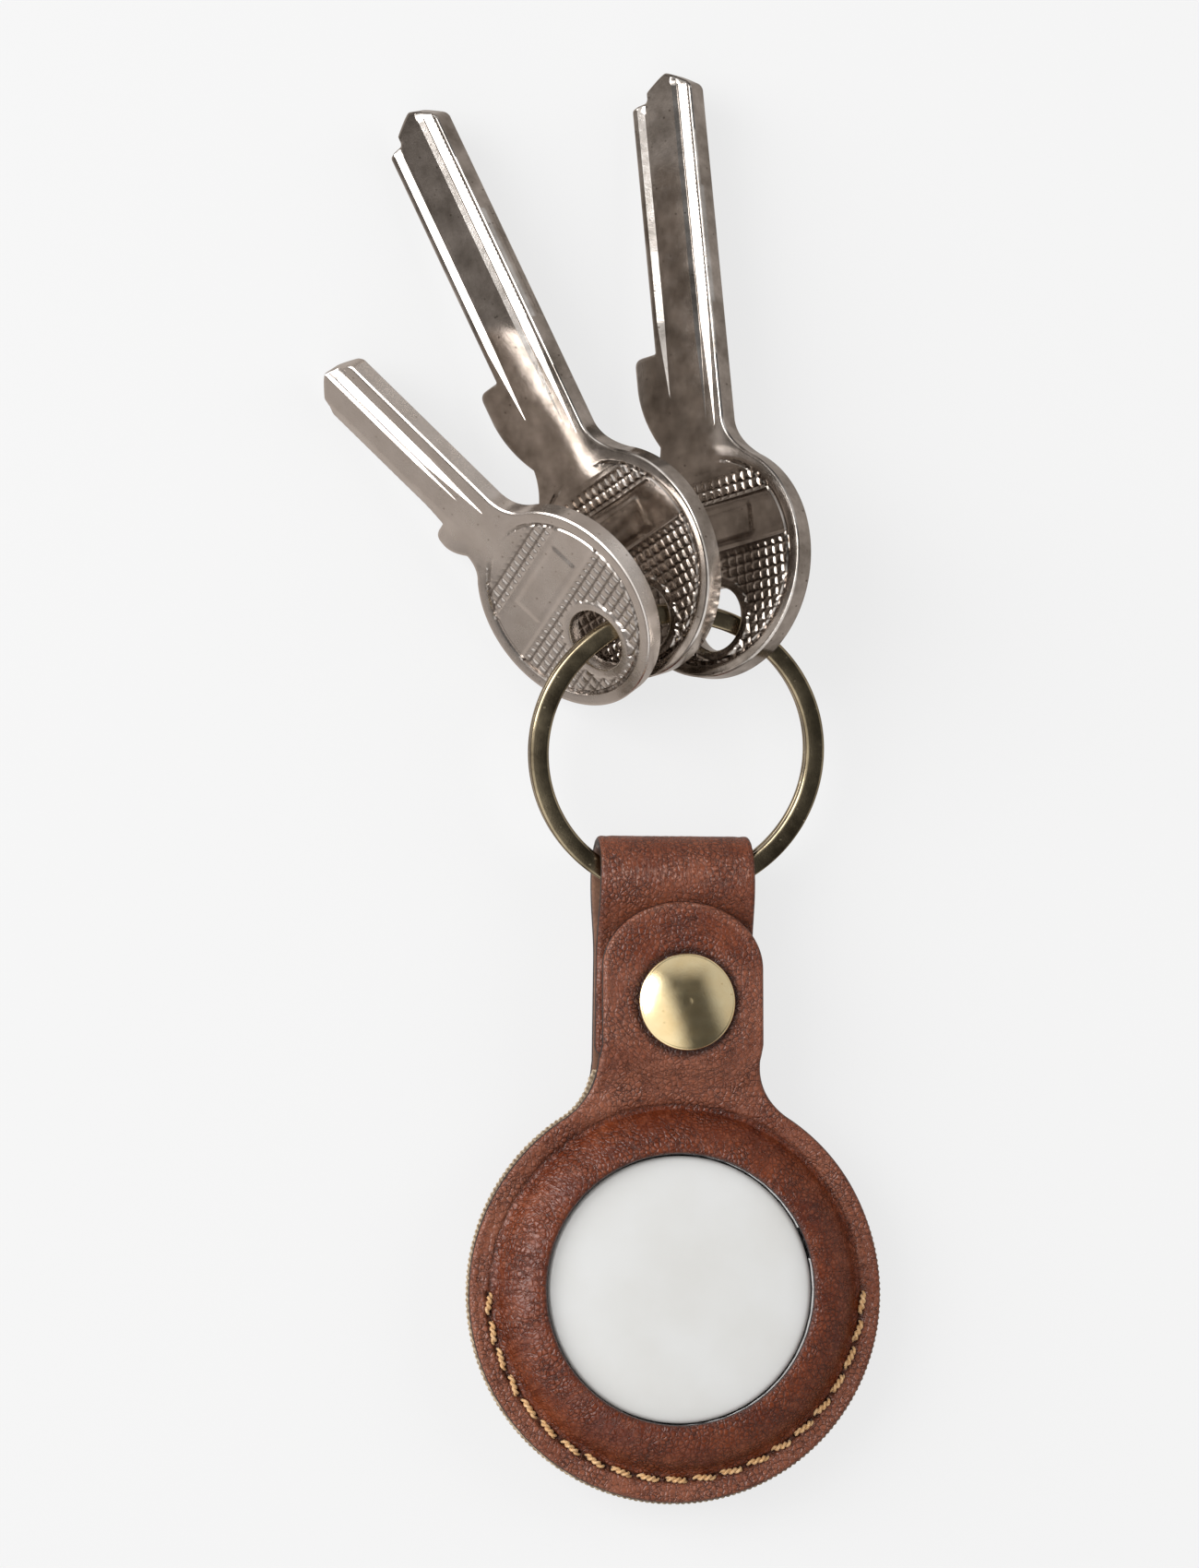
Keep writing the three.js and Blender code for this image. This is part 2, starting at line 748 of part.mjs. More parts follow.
function addRing(parent) {
  const ring = new THREE.Group();
  const reach = RING_R - RING_SEAT;
  const tilt = deg(RING_TILT);
  ring.position.set(0, LOOP_Y + reach * Math.cos(tilt), MID_Z + reach * Math.sin(tilt));
  ring.rotation.x = tilt;
  addNode(ring, "split_ring", splitRing(), oldBrass);
  addKey(ring, "key_small", smallKey, nickel, { at: 125, heading: 134, lean: 57, dip: 11.7 });
  addKey(ring, "key_middle", largeKey, darkNickel, { at: 102.5, heading: 114, lean: 52, dip: 7.5 });
  addKey(ring, "key_right", largeKey, darkNickel, { at: 72.6, heading: 94, lean: 50, dip: 7.3 });
  parent.add(ring);
}

addHolder(keychain);
addSnap(keychain);
addTracker(keychain);
addRing(keychain);

// The origin is under the middle of the object's box, on the surface that it lies on.
keychain.updateMatrixWorld(true);
const box = new THREE.Box3().setFromObject(keychain, true);
keychain.position.set(-(box.min.x + box.max.x) / 2, -(box.min.y + box.max.y) / 2, -box.min.z);

export default keychain;
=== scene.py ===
"""A leather key holder with a tracker tag, a split ring and three keys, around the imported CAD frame."""

import json
import math

import bmesh
import bpy
import numpy as np
from mathutils import Matrix, Vector, kdtree, noise
from mathutils.geometry import delaunay_2d_cdt


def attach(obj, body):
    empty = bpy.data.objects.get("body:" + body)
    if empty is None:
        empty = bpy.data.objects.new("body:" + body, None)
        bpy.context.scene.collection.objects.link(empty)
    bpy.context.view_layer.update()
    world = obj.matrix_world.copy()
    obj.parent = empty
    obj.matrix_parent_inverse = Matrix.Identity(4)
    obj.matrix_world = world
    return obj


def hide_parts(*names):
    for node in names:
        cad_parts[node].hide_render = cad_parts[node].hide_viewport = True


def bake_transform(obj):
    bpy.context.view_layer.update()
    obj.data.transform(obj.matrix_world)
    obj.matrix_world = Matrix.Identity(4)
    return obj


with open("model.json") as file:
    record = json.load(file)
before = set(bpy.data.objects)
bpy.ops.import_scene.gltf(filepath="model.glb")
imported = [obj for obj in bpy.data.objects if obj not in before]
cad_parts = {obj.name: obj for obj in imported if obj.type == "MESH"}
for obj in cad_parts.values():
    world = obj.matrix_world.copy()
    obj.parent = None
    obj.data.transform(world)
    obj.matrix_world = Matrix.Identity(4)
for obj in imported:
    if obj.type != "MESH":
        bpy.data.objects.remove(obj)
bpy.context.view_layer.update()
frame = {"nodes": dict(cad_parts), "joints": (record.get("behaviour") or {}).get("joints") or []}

# ---- driving dimensions, in millimetres, with the tag's centre at x = y = 0 and the table at z = 0 ----
MID_Z = 5.8  # the middle plane between the two leathers
LEATHER = 1.2
PANEL_GAP = 0.2
BODY_R = 19.9
BODY_Y = -0.4
STRAP_HALF = 7.8
FOLD_HALF = 7.35
NECK_FILLET = 6.5
WINDOW_R = 12.95
CREASE_R = 17.9
SEAM_R = 18.15
STRAP_END_Y = 22.5
LOOP_Y = 39.6
FOLD_R = 3.4
TAB_X = 0.3
TAB_HALF = 7.75
TAB_ROUND_Y = 30.6
TAB_ROUND_H = 6.4
TAB_LIFT = 3.4
SNAP_X = 0.6
SNAP_Y = 27.4
CAP_R = 4.65
RING_R = 13.4
RING_SEAT = 1.1
RING_TILT = math.radians(12)
WIRE_WIDE = 1.85
WIRE_THICK = 0.95
COIL_GAP = 0.15
CROSSOVER = 30
COVER_R = 12.75
STITCHES = 21
NECK_LIFT = 1.5
FRONT_Z = MID_Z + PANEL_GAP + LEATHER / 2
BACK_Z = MID_Z - PANEL_GAP - LEATHER / 2
STRAP_TOP = MID_Z + PANEL_GAP + LEATHER
STRAP_BACK = MID_Z - PANEL_GAP - LEATHER
TAB_UNDER = MID_Z + PANEL_GAP + TAB_LIFT
TAB_TOP = TAB_UNDER + LEATHER
BODY_EDGE = 19.1  # past the rings of points on the round body
STRAP_FROM = 18  # the y at which the strap's middle line starts
HOLE_DEEP = 0.36  # how far a stitch hole draws the leather in
STEP = 0.25  # between the points of an outline

joints = {joint["name"]: joint for joint in frame["joints"]}
TAG = np.array(joints["tracker_spin"]["pos_m"]) * 1000 - np.array([0, 0, MID_Z])


def smooth(low, high, x):
    t = np.clip((np.asarray(x, float) - low) / (high - low), 0, 1)
    return t * t * (3 - 2 * t)


def smoother(low, high, x):
    t = np.clip((np.asarray(x, float) - low) / (high - low), 0, 1)
    return t * t * t * (t * (6 * t - 15) + 10)


def bump(x, width):
    return np.exp(-((np.asarray(x, float) / width) ** 2))


# ---- curves in the plane ----
def arc(cx, cy, rx, ry, start, end, step=STEP):
    """Points on an arc from start to end, in degrees, without the last one."""
    length = abs(math.radians(end - start)) * max(rx, ry)
    count = max(3, int(round(length / step)))
    angle = np.radians(start + (end - start) * np.arange(count) / count)
    return np.stack([cx + rx * np.cos(angle), cy + ry * np.sin(angle)], 1)


def line(a, b, step=STEP):
    """Points on a straight line, without the last one."""
    count = max(1, int(round(math.dist(a, b) / step)))
    t = np.arange(count)[:, None] / count
    return np.asarray(a, float) * (1 - t) + np.asarray(b, float) * t


def bezier(*corners, count=12):
    """A quadratic or cubic curve through its control points, without its last point."""
    t = np.arange(count)[:, None] / count
    corners = [np.asarray(c, float) for c in corners]
    while len(corners) > 1:
        corners = [a * (1 - t) + b * t for a, b in zip(corners, corners[1:])]
    return corners[0]


def run_lengths(path):
    """How far along a path each of its points lies."""
    return np.concatenate([[0], np.cumsum(np.linalg.norm(np.diff(path, axis=0), axis=1))])


def resampled(loop, step):
    """The same closed loop with its points at even distances."""
    path = np.vstack([loop, loop[:1]])
    along = run_lengths(path)
    count = int(round(along[-1] / step))
    at = np.linspace(0, along[-1], count + 1)[:count]
    return np.stack([np.interp(at, along, path[:, k]) for k in range(2)], 1)


def concentric(radii, step, y=0):
    """Rings of points about (0, y). The step is one length, or one for each ring."""
    steps = np.broadcast_to(step, len(radii))
    return np.vstack([arc(0, y, r, r, 0, 360, s) for r, s in zip(radii, steps)])


def circle(radius, count):
    angle = 2 * np.pi * np.arange(count) / count
    return radius * np.stack([np.cos(angle), np.sin(angle)], 1)


def filleted(corners, radius, steps=4):
    """A closed polygon with each corner cut back and rounded."""
    corners = [np.asarray(c, float) for c in corners]
    out = []
    for i, corner in enumerate(corners):
        before, after = corners[i - 1], corners[(i + 1) % len(corners)]
        a, b = before - corner, after - corner
        la, lb = np.linalg.norm(a), np.linalg.norm(b)
        cut = min(radius, 0.45 * la, 0.45 * lb)
        p, q = corner + a / la * cut, corner + b / lb * cut
        for t in np.linspace(0, 1, steps + 1):
            out.append(p * (1 - t) ** 2 + corner * 2 * t * (1 - t) + q * t * t)
    return np.array(out)


# ---- meshes ----
def mesh_object(name, points, faces, materials, indices=None, attributes=None):
    """A smooth-shaded object from points in millimetres."""
    mesh = bpy.data.meshes.new(name)
    mesh.from_pydata(((np.asarray(points) + TAG) / 1000).tolist(), [], faces)
    for material in materials:
        mesh.materials.append(material)
    mesh.polygons.foreach_set("use_smooth", [True] * len(mesh.polygons))
    if indices is not None:
        mesh.polygons.foreach_set("material_index", np.asarray(indices, np.int32))
    for key, values in (attributes or {}).items():
        values = np.asarray(values, np.float32)
        kind = "FLOAT" if values.ndim == 1 else "FLOAT_VECTOR"
        field = "value" if values.ndim == 1 else "vector"
        mesh.attributes.new(key, kind, "POINT").data.foreach_set(field, values.ravel())
    mesh.update()
    made = bpy.data.objects.new(name, mesh)
    bpy.context.scene.collection.objects.link(made)
    return made


def inside(points, loop):
    """Which of the points lie within a closed loop."""
    x, y = points[:, 0:1], points[:, 1:2]
    x0, y0 = loop[:, 0], loop[:, 1]
    x1, y1 = np.roll(x0, -1), np.roll(y0, -1)
    result = np.zeros(len(points), bool)
    for i in range(0, len(points), 4000):
        part = slice(i, i + 4000)
        crosses = (y0 > y[part]) != (y1 > y[part])
        with np.errstate(divide="ignore", invalid="ignore"):
            at = x0 + (y[part] - y0) * (x1 - x0) / (y1 - y0)
        result[part] = (crosses & (x[part] < at)).sum(1) % 2 == 1
    return result


def distances(points, targets):
    """How far each point is from the nearest target."""
    tree = kdtree.KDTree(len(targets))
    for i, (x, y) in enumerate(targets):
        tree.insert((x, y, 0), i)
    tree.balance()
    return np.array([tree.find((x, y, 0))[2] for x, y in points])


def dense(loop):
    return resampled(loop, 0.04)


def offset_rings(loop, depths):
    """The loop moved inwards by each depth. A loop that runs the other way moves outwards."""
    before, after = np.roll(loop, 1, 0), np.roll(loop, -1, 0)
    along = after - before
    along /= np.linalg.norm(along, axis=1)[:, None]
    normal = np.stack([-along[:, 1], along[:, 0]], 1)
    edge = dense(loop)
    rings = []
    for depth in depths:
        ring = loop + normal * depth
        rings.append(ring[distances(ring, edge) > 0.97 * depth])
    return np.vstack(rings)


def grid(low, high, pitch):
    """Points over a rectangle, with every second row shifted by half a pitch."""
    x, y = np.meshgrid(np.arange(low[0], high[0], pitch), np.arange(low[1], high[1], pitch))
    x = x + np.where(np.arange(len(x))[:, None] % 2, pitch / 2, 0)
    return np.stack([x.ravel(), y.ravel()], 1)


def triangulated(outer, holes, inner):
    """Triangles over the area within outer and outside the holes, through the inner points."""
    loops = [outer, *holes]
    points = np.vstack([*loops, inner])
    borders, start = [], 0
    for loop in loops:
        borders.append(list(range(start, start + len(loop))))
        start += len(loop)
    flat = [Vector(p) for p in points.tolist()]
    found = delaunay_2d_cdt(flat, [], borders, 1, 1e-6)
    plan = np.array([tuple(v) for v in found[0]])
    faces = np.array([f for f in found[2] if len(f) == 3])
    middle = plan[faces].mean(1)
    keep = np.ones(len(faces), bool)
    for hole in holes:
        keep &= ~inside(middle, hole)
    faces = faces[keep]
    used = np.unique(faces)
    renumber = -np.ones(len(plan), int)
    renumber[used] = np.arange(len(used))
    return plan[used], renumber[faces]


def vertex_normals(points, faces):
    a, b, c = (points[faces[:, k]] for k in range(3))
    across = np.cross(b - a, c - a)
    normal = np.zeros_like(points)
    for k in range(3):
        np.add.at(normal, faces[:, k], across)
    return normal / np.linalg.norm(normal, axis=1)[:, None]


def border_edges(faces):
    """The directed edges that only one triangle has."""
    edges = np.vstack([faces[:, [0, 1]], faces[:, [1, 2]], faces[:, [2, 0]]])
    key = np.sort(edges, 1)
    _, first, count = np.unique(key, axis=0, return_index=True, return_counts=True)
    return edges[first[count == 1]]


def slab(top, bottom, faces, bulge=None):
    """A closed body from two copies of one triangulated sheet. Returns points, faces and a kind per face."""
    n = len(top)
    edges = border_edges(faces)
    rim = np.unique(edges)
    side = -np.ones(n, int)
    side[rim] = 2 * n + np.arange(len(rim))
    middle = (top[rim] + bottom[rim]) / 2 + (0 if bulge is None else bulge[rim])
    points = np.vstack([top, bottom, middle])
    a, b = edges[:, 0], edges[:, 1]
    upper = np.stack([b, a, side[a], side[b]], 1)
    lower = np.stack([side[b], side[a], a + n, b + n], 1)
    shape = faces.tolist() + (faces[:, ::-1] + n).tolist() + upper.tolist() + lower.tolist()
    kinds = [0] * len(faces) + [1] * len(faces) + [2] * (2 * len(edges))
    return points, shape, kinds


def lathe(name, profile, material, centre=(0, 0, 0), segments=128, closed=False):
    """A body turned about a vertical axis. An open profile starts and ends on the axis."""
    profile = np.asarray(profile, float)
    points, faces = [], []
    angle = 2 * np.pi * np.arange(segments) / segments
    starts = []
    for r, z in profile:
        starts.append(len(points))
        if r < 1e-6:
            points.append((0, 0, z))
        else:
            points += [(r * math.cos(a), r * math.sin(a), z) for a in angle]
    count = len(profile)
    for i in range(count if closed else count - 1):
        j = (i + 1) % count
        a, b = starts[i], starts[j]
        flat_a, flat_b = profile[i][0] < 1e-6, profile[j][0] < 1e-6
        for k in range(segments):
            m = (k + 1) % segments
            if flat_a:
                faces.append((a, b + m, b + k))
            elif flat_b:
                faces.append((a + k, a + m, b))
            else:
                faces.append((a + k, a + m, b + m, b + k))
    made = mesh_object(name, np.array(points) + np.array(centre), faces, [material])
    outwards(made)
    return made


def outwards(made):
    """Turns the faces of a closed body to look out."""
    body = bmesh.new()
    body.from_mesh(made.data)
    bmesh.ops.recalc_face_normals(body, faces=body.faces)
    body.to_mesh(made.data)
    body.free()


def upright(angle):
    """Outward and upward unit vectors at each angle about a vertical axis."""
    out = np.stack([np.cos(angle), np.sin(angle), 0 * angle], 1)
    return out, np.tile([0.0, 0, 1], (len(angle), 1))


def tube(path, section, frames):
    """Points and faces of a section carried along a path. frames holds two unit vectors per path point."""
    n, m = len(path), len(section)
    u, v = frames
    points = path[:, None] + section[None, :, 0:1] * u[:, None] + section[None, :, 1:2] * v[:, None]
    faces = []
    for a in range(0, (n - 1) * m, m):
        for k in range(m):
            j = (k + 1) % m
            faces.append((a + k, a + j, a + m + j, a + m + k))
    faces.append(tuple(range(m))[::-1])
    faces.append(tuple(range((n - 1) * m, n * m)))
    return points.reshape(-1, 3), faces


def joined(parts):
    """Several lots of points and faces as one."""
    points, faces, start = [], [], 0
    for p, f in parts:
        points.append(p)
        faces += [tuple(i + start for i in face) for face in f]
        start += len(p)
    return np.vstack(points), faces


def rippled(points, scale, seed):
    """Smooth seeded noise at each point, from about -1 to 1."""
    shift = Vector((seed * 7.31, seed * 3.17, seed * 5.77))
    return np.array([noise.noise(Vector(p) * scale + shift) for p in points.tolist()])


# ---- materials ----
class Nodes:
    """Short names for the nodes of a shader tree."""

    def __init__(self, tree):
        self.tree = tree

    def node(self, kind, inputs=(), **settings):
        """A new node with its inputs fed and its settings made."""
        made = self.tree.nodes.new(kind)
        for key, value in settings.items():
            setattr(made, key, value)
        for key, value in dict(inputs).items():
            self.feed(made.inputs[key], value)
        return made

    def feed(self, socket, value):
        if isinstance(value, bpy.types.NodeSocket):
            self.tree.links.new(value, socket)
        else:
            socket.default_value = value

    def range(self, value, low, high, to_low=0, to_high=1):
        inputs = {"Value": value, "From Min": low, "From Max": high, "To Min": to_low, "To Max": to_high}
        return self.node("ShaderNodeMapRange", inputs).outputs["Result"]

    def math(self, operation, a, b=0.0):
        made = self.node("ShaderNodeMath", operation=operation)
        self.feed(made.inputs[0], a)
        self.feed(made.inputs[1], b)
        return made.outputs[0]

    def between(self, factor, a, b):
        """A mix of two plain values."""
        rest = self.math("MULTIPLY", self.math("SUBTRACT", 1.0, factor), a)
        return self.math("ADD", rest, self.math("MULTIPLY", factor, b))

    def grey(self, value):
        return self.node("ShaderNodeCombineXYZ", {0: value, 1: value, 2: value}).outputs[0]

    def mix(self, factor, a, b, blend="MIX"):
        """A mix of two colours."""
        made = self.node("ShaderNodeMix", data_type="RGBA", blend_type=blend)
        self.feed(made.inputs["Factor"], factor)
        for socket, value in zip((made.inputs[6], made.inputs[7]), (a, b)):
            self.feed(socket, value if isinstance(value, bpy.types.NodeSocket) else (*value, 1))
        return made.outputs[2]


class Finish(Nodes):
    """A procedural material whose texture lengths are in millimetres."""

    def __init__(self, name):
        self.material = bpy.data.materials.new(name)
        self.material.use_nodes = True
        super().__init__(self.material.node_tree)
        self.shader = self.tree.nodes["Principled BSDF"]
        self.height = None
        self.place = self.tree.nodes.new("ShaderNodeTexCoord").outputs["Object"]

    def set(self, **values):
        for key, value in values.items():
            self.feed(self.shader.inputs[key.replace("_", " ")], value)

    def stretched(self, *scale):
        return self.node("ShaderNodeMapping", {"Vector": self.place, "Scale": scale}).outputs["Vector"]

    def noise(self, size, detail=3, rough=0.55, source=None, distortion=0, per_metre=True):
        inputs = {
            "Vector": source or self.place,
            "Scale": (1000 if per_metre else 1) / size,
            "Detail": detail,
            "Roughness": rough,
            "Distortion": distortion,
        }
        return self.node("ShaderNodeTexNoise", inputs).outputs["Fac"]

    def cells(self, size, source, feature="F1"):
        inputs = {"Vector": source, "Scale": 1000 / size}
        return self.node("ShaderNodeTexVoronoi", inputs, feature=feature).outputs["Distance"]

    def attribute(self, name, output="Fac"):
        return self.node("ShaderNodeAttribute", attribute_name=name).outputs[output]

    def raise_by(self, height, depth, strength=1.0):
        """Adds a bump of the given depth in millimetres."""
        inputs = {"Height": height, "Distance": depth / 1000, "Strength": strength}
        made = self.node("ShaderNodeBump", inputs)
        if self.height:
            self.feed(made.inputs["Normal"], self.height)
        self.height = made.outputs["Normal"]
        self.feed(self.shader.inputs["Normal"], self.height)


def leather_grain():
    """Pebbled leather: flat tan, redder where moulded, with painted shade in its creases and crevices and
    painted highlights on its pebble tops, edges and fold.
    """
    f = Finish("leather_grain")
    flow = f.attribute("flow", "Vector")
    # deep carries painted shade; the third attribute carries painted highlight
    deep, mould, painted_highlight = (f.attribute(name) for name in ("deep", "mould", "painted_highlight"))
    wobble = f.node("ShaderNodeTexNoise", {"Vector": f.place, "Scale": 2600.0, "Detail": 2.0})
    shift = f.node("ShaderNodeVectorMath", {0: wobble.outputs["Color"], "Scale": 0.00022}, operation="SCALE")
    warped = f.node("ShaderNodeVectorMath", {0: f.place, 1: shift.outputs[0]}, operation="ADD").outputs[0]
    broad = f.noise(5, 4, 0.6)
    mottle = f.noise(1.1, 4, 0.65)
    pebble_size = 0.50
    pebble = f.cells(pebble_size, warped)
    crevice = f.cells(pebble_size, warped, feature="DISTANCE_TO_EDGE")
    coarse = f.range(f.noise(3.2, 2, 0.5), 0.38, 0.62, 0.4, 1)
    wrinkle = f.noise(1.15, 4, 0.6, source=flow, distortion=0.4, per_metre=False)
    crease = f.range(f.math("ABSOLUTE", f.math("SUBTRACT", wrinkle, 0.5)), 0.0, 0.022)
    streak = f.noise(0.5, 3, 0.6, source=flow, per_metre=False)
    flat = f.mix(f.range(broad, 0.35, 0.68), (0.142, 0.040, 0.020), (0.220, 0.076, 0.042))
    red = f.mix(f.range(broad, 0.32, 0.66), (0.078, 0.012, 0.003), (0.148, 0.031, 0.009))
    # painted shade in the crevices between the pebbles
    dark = f.math("MULTIPLY", f.range(crevice, 0.0, 0.12, 0.92, 0), coarse)
    # where the painted highlight shows: along streaks and on pebble tops
    glint_pattern = f.math("MAXIMUM", f.range(streak, 0.5, 0.68, 0, 0.6), f.range(pebble, 0.30, 0.10))
    base = f.mix(mould, flat, red)
    for amount, colour in (
        # painted highlight: pebble tops lighter
        (f.range(pebble, 0.34, 0.10, 0, 0.4), (0.27, 0.085, 0.042)),
        # painted shade: the crevices darker
        (dark, (0.034, 0.008, 0.004)),
        (f.range(mottle, 0.52, 0.74, 0, 0.4), (0.25, 0.070, 0.028)),
        # painted shade: thin wrinkle lines darker
        (f.range(crease, 0.0, 1.0, 0.32, 0), (0.040, 0.010, 0.005)),
        (f.range(streak, 0.58, 0.70, 0, 0.15), (0.30, 0.10, 0.055)),
        # painted highlight: pale glints on the tab's edges, the ring's left slope and the fold
        (f.math("MULTIPLY", painted_highlight, glint_pattern), (0.44, 0.26, 0.20)),
        # painted shade in the creases, stitch holes, round the cap and at the window's lip
        (deep, (0.018, 0.006, 0.004)),
    ):
        base = f.mix(amount, base, colour)
    f.set(Base_Color=base, Specular_IOR_Level=0.38, Roughness=f.range(mottle, 0.3, 0.7, 0.24, 0.38))
    f.raise_by(crease, 0.05, 0.9)
    f.raise_by(f.math("MULTIPLY", f.range(crevice, 0.0, 0.26), coarse), 0.085, 1.0)
    f.raise_by(f.noise(0.22, 3, 0.6), 0.03, 0.5)
    return f.material


def leather_flesh():
    f = Finish("leather_flesh")
    nap = f.noise(0.35, 5, 0.7)
    broad = f.noise(3, 3)
    base = f.mix(f.range(broad, 0.3, 0.7), (0.115, 0.050, 0.026), (0.19, 0.09, 0.05))
    base = f.mix(f.range(nap, 0.35, 0.65, 0.5, 0), base, (0.06, 0.025, 0.014))
    f.set(Base_Color=base, Roughness=0.86, Sheen_Weight=0.2, Sheen_Roughness=0.5)
    f.raise_by(nap, 0.09, 0.8)
    return f.material


def painted_edge():
    f = Finish("painted_edge")
    lumps = f.noise(0.55, 4, 0.6)
    scuff = f.noise(0.3, 3, 0.7)
    base = f.mix(f.range(lumps, 0.35, 0.7), (0.008, 0.005, 0.006), (0.026, 0.014, 0.013))
    base = f.mix(f.range(scuff, 0.64, 0.74, 0, 0.35), base, (0.12, 0.08, 0.065))
    f.set(Base_Color=base, Roughness=f.range(scuff, 0.3, 0.7, 0.3, 0.5), Specular_IOR_Level=0.3)
    f.raise_by(lumps, 0.10, 0.8)
    return f.material


def woven_lining():
    f = Finish("woven_lining")
    weave = f.node(
        "ShaderNodeTexWave",
        {"Vector": f.stretched(1000, 1000, 1000), "Scale": 0.9, "Distortion": 1.5, "Detail": 2.0},
        bands_direction="DIAGONAL",
    ).outputs["Fac"]
    fuzz = f.noise(0.25, 4, 0.7)
    base = f.mix(f.range(weave, 0.2, 0.8), (0.30, 0.21, 0.13), (0.60, 0.48, 0.33))
    base = f.mix(f.range(fuzz, 0.35, 0.6, 0.6, 0), base, (0.11, 0.07, 0.045))
    f.set(Base_Color=base, Roughness=0.9, Sheen_Weight=0.25)
    f.raise_by(weave, 0.06, 0.7)
    f.raise_by(fuzz, 0.05, 0.7)
    return f.material


def waxed_thread():
    f = Finish("waxed_thread")
    fibre = f.noise(0.16, 4, 0.65, distortion=0.4)
    wax = f.noise(0.9, 3)
    base = f.mix(f.range(fibre, 0.3, 0.7), (0.32, 0.15, 0.05), (0.70, 0.43, 0.19))
    base = f.mix(f.range(wax, 0.45, 0.75, 0, 0.4), base, (0.80, 0.60, 0.36))
    f.set(Base_Color=base, Roughness=0.5, Sheen_Weight=0.15)
    f.raise_by(fibre, 0.05, 0.7)
    return f.material


def metal(name, dark, light, low, high, scratch, speck=None, grain=(1, 1, 1), painted_cut_shade=None):
    """Plated metal with clouded tone, fine scratches, a few specks and painted shade in its pressed lines and
    cuts.
    """
    f = Finish(name)
    fine = f.noise(0.18, 4, 0.7, source=f.stretched(*grain))
    base = f.mix(f.range(f.noise(3.2, 4, 0.6), 0.3, 0.7), dark, light)
    pits = f.cells(1.3, f.stretched(1.0, 1.3, 0.9))
    if speck:
        base = f.mix(f.range(pits, 0.05, 0.13, 0.75, 0), base, speck)
    # painted shade in the cuts and lines, from the mesh attribute
    if painted_cut_shade:
        base = f.mix(f.attribute("painted_cut_shade"), base, painted_cut_shade)
    f.set(Base_Color=base, Metallic=1.0)
    f.set(Roughness=f.range(f.noise(1.4, 4, 0.65), 0.3, 0.72, low, high))
    f.raise_by(fine, 0.012, scratch)
    f.raise_by(pits, 0.02, 0.12)
    return f.material


def plastic(name, dark, light, low, high, size=0.25, depth=0.012):
    f = Finish(name)
    tone = f.noise(4, 3)
    f.set(Base_Color=f.mix(f.range(tone, 0.3, 0.7), dark, light))
    f.set(Roughness=f.range(f.noise(1.5, 3), 0.3, 0.7, low, high))
    f.raise_by(f.noise(size, 3), depth, 0.5)
    return f.material


def cover_with_painted_reflection():
    """Mirror steel drawn as a pale, nearly matt surface whose near-white colour is a painted reflection of
    the white studio.
    """
    f = Finish("cover_with_painted_reflection")
    painted_reflection_tone = f.noise(7, 3, 0.5)
    swirl = f.noise(0.3, 3, 0.6, source=f.stretched(1, 0.2, 1))
    # painted reflection: the near-white base colour
    f.set(Base_Color=f.mix(f.range(painted_reflection_tone, 0.3, 0.7), (0.615, 0.61, 0.59), (0.65, 0.65, 0.64)))
    f.set(Metallic=0.15, Roughness=f.range(swirl, 0.3, 0.7, 0.3, 0.36), Specular_IOR_Level=0.4)
    f.raise_by(swirl, 0.004, 0.3)
    return f.material


def floor_paper():
    f = Finish("floor_paper")
    f.set(Base_Color=f.mix(f.noise(60, 3), (0.12, 0.12, 0.12), (0.122, 0.122, 0.122)))
    f.set(Roughness=0.9, Specular_IOR_Level=0.1, Emission_Color=(1, 1, 1, 1), Emission_Strength=0.745)
    return f.material


GRAIN = leather_grain()
FLESH = leather_flesh()
EDGE = painted_edge()
LINING = woven_lining()
THREAD = waxed_thread()
BRASS = metal("bright_brass", (0.84, 0.63, 0.33), (0.93, 0.77, 0.47), 0.12, 0.22, 0.35, (0.72, 0.53, 0.27))
OLD_BRASS = metal(
    "antique_brass", (0.17, 0.135, 0.085), (0.44, 0.36, 0.235), 0.10, 0.2, 0.5, (0.80, 0.68, 0.46)
)
SPRING = metal("spring_steel", (0.52, 0.52, 0.53), (0.62, 0.62, 0.62), 0.2, 0.32, 0.3, None, (1, 1, 6))
NICKEL = metal(
    "nickel", (0.66, 0.60, 0.55), (0.76, 0.70, 0.655), 0.2, 0.3, 0.4,
    speck=(0.40, 0.34, 0.29), painted_cut_shade=(0.22, 0.185, 0.16),
)
# a darker copy of the nickel: painted shade standing in for the darker reflections on the two large keys
SHADED_NICKEL = metal(
    "dark_nickel", (0.28, 0.25, 0.22), (0.66, 0.61, 0.57), 0.06, 0.15, 0.4,
    speck=(0.12, 0.09, 0.07), painted_cut_shade=(0.10, 0.07, 0.05),
)
COVER = cover_with_painted_reflection()
STEEL = metal("battery_steel", (0.60, 0.60, 0.59), (0.70, 0.70, 0.69), 0.2, 0.32, 0.3)
WHITE = plastic("white_plastic", (0.80, 0.80, 0.79), (0.86, 0.86, 0.85), 0.2, 0.3)
GREY = plastic("grey_plastic", (0.09, 0.09, 0.10), (0.13, 0.13, 0.14), 0.5, 0.65, 0.4, 0.03)
BOARD = plastic("board", (0.012, 0.06, 0.035), (0.025, 0.10, 0.06), 0.3, 0.45, 0.6, 0.04)
MAGNET = metal("magnet", (0.38, 0.38, 0.40), (0.46, 0.46, 0.48), 0.3, 0.42, 0.5)
COIL = metal("coil_wire", (0.40, 0.14, 0.045), (0.55, 0.22, 0.08), 0.3, 0.4, 0.6, None, (1, 1, 12))
CONTACT = metal("contact_metal", (0.62, 0.44, 0.16), (0.72, 0.54, 0.24), 0.25, 0.35, 0.4)


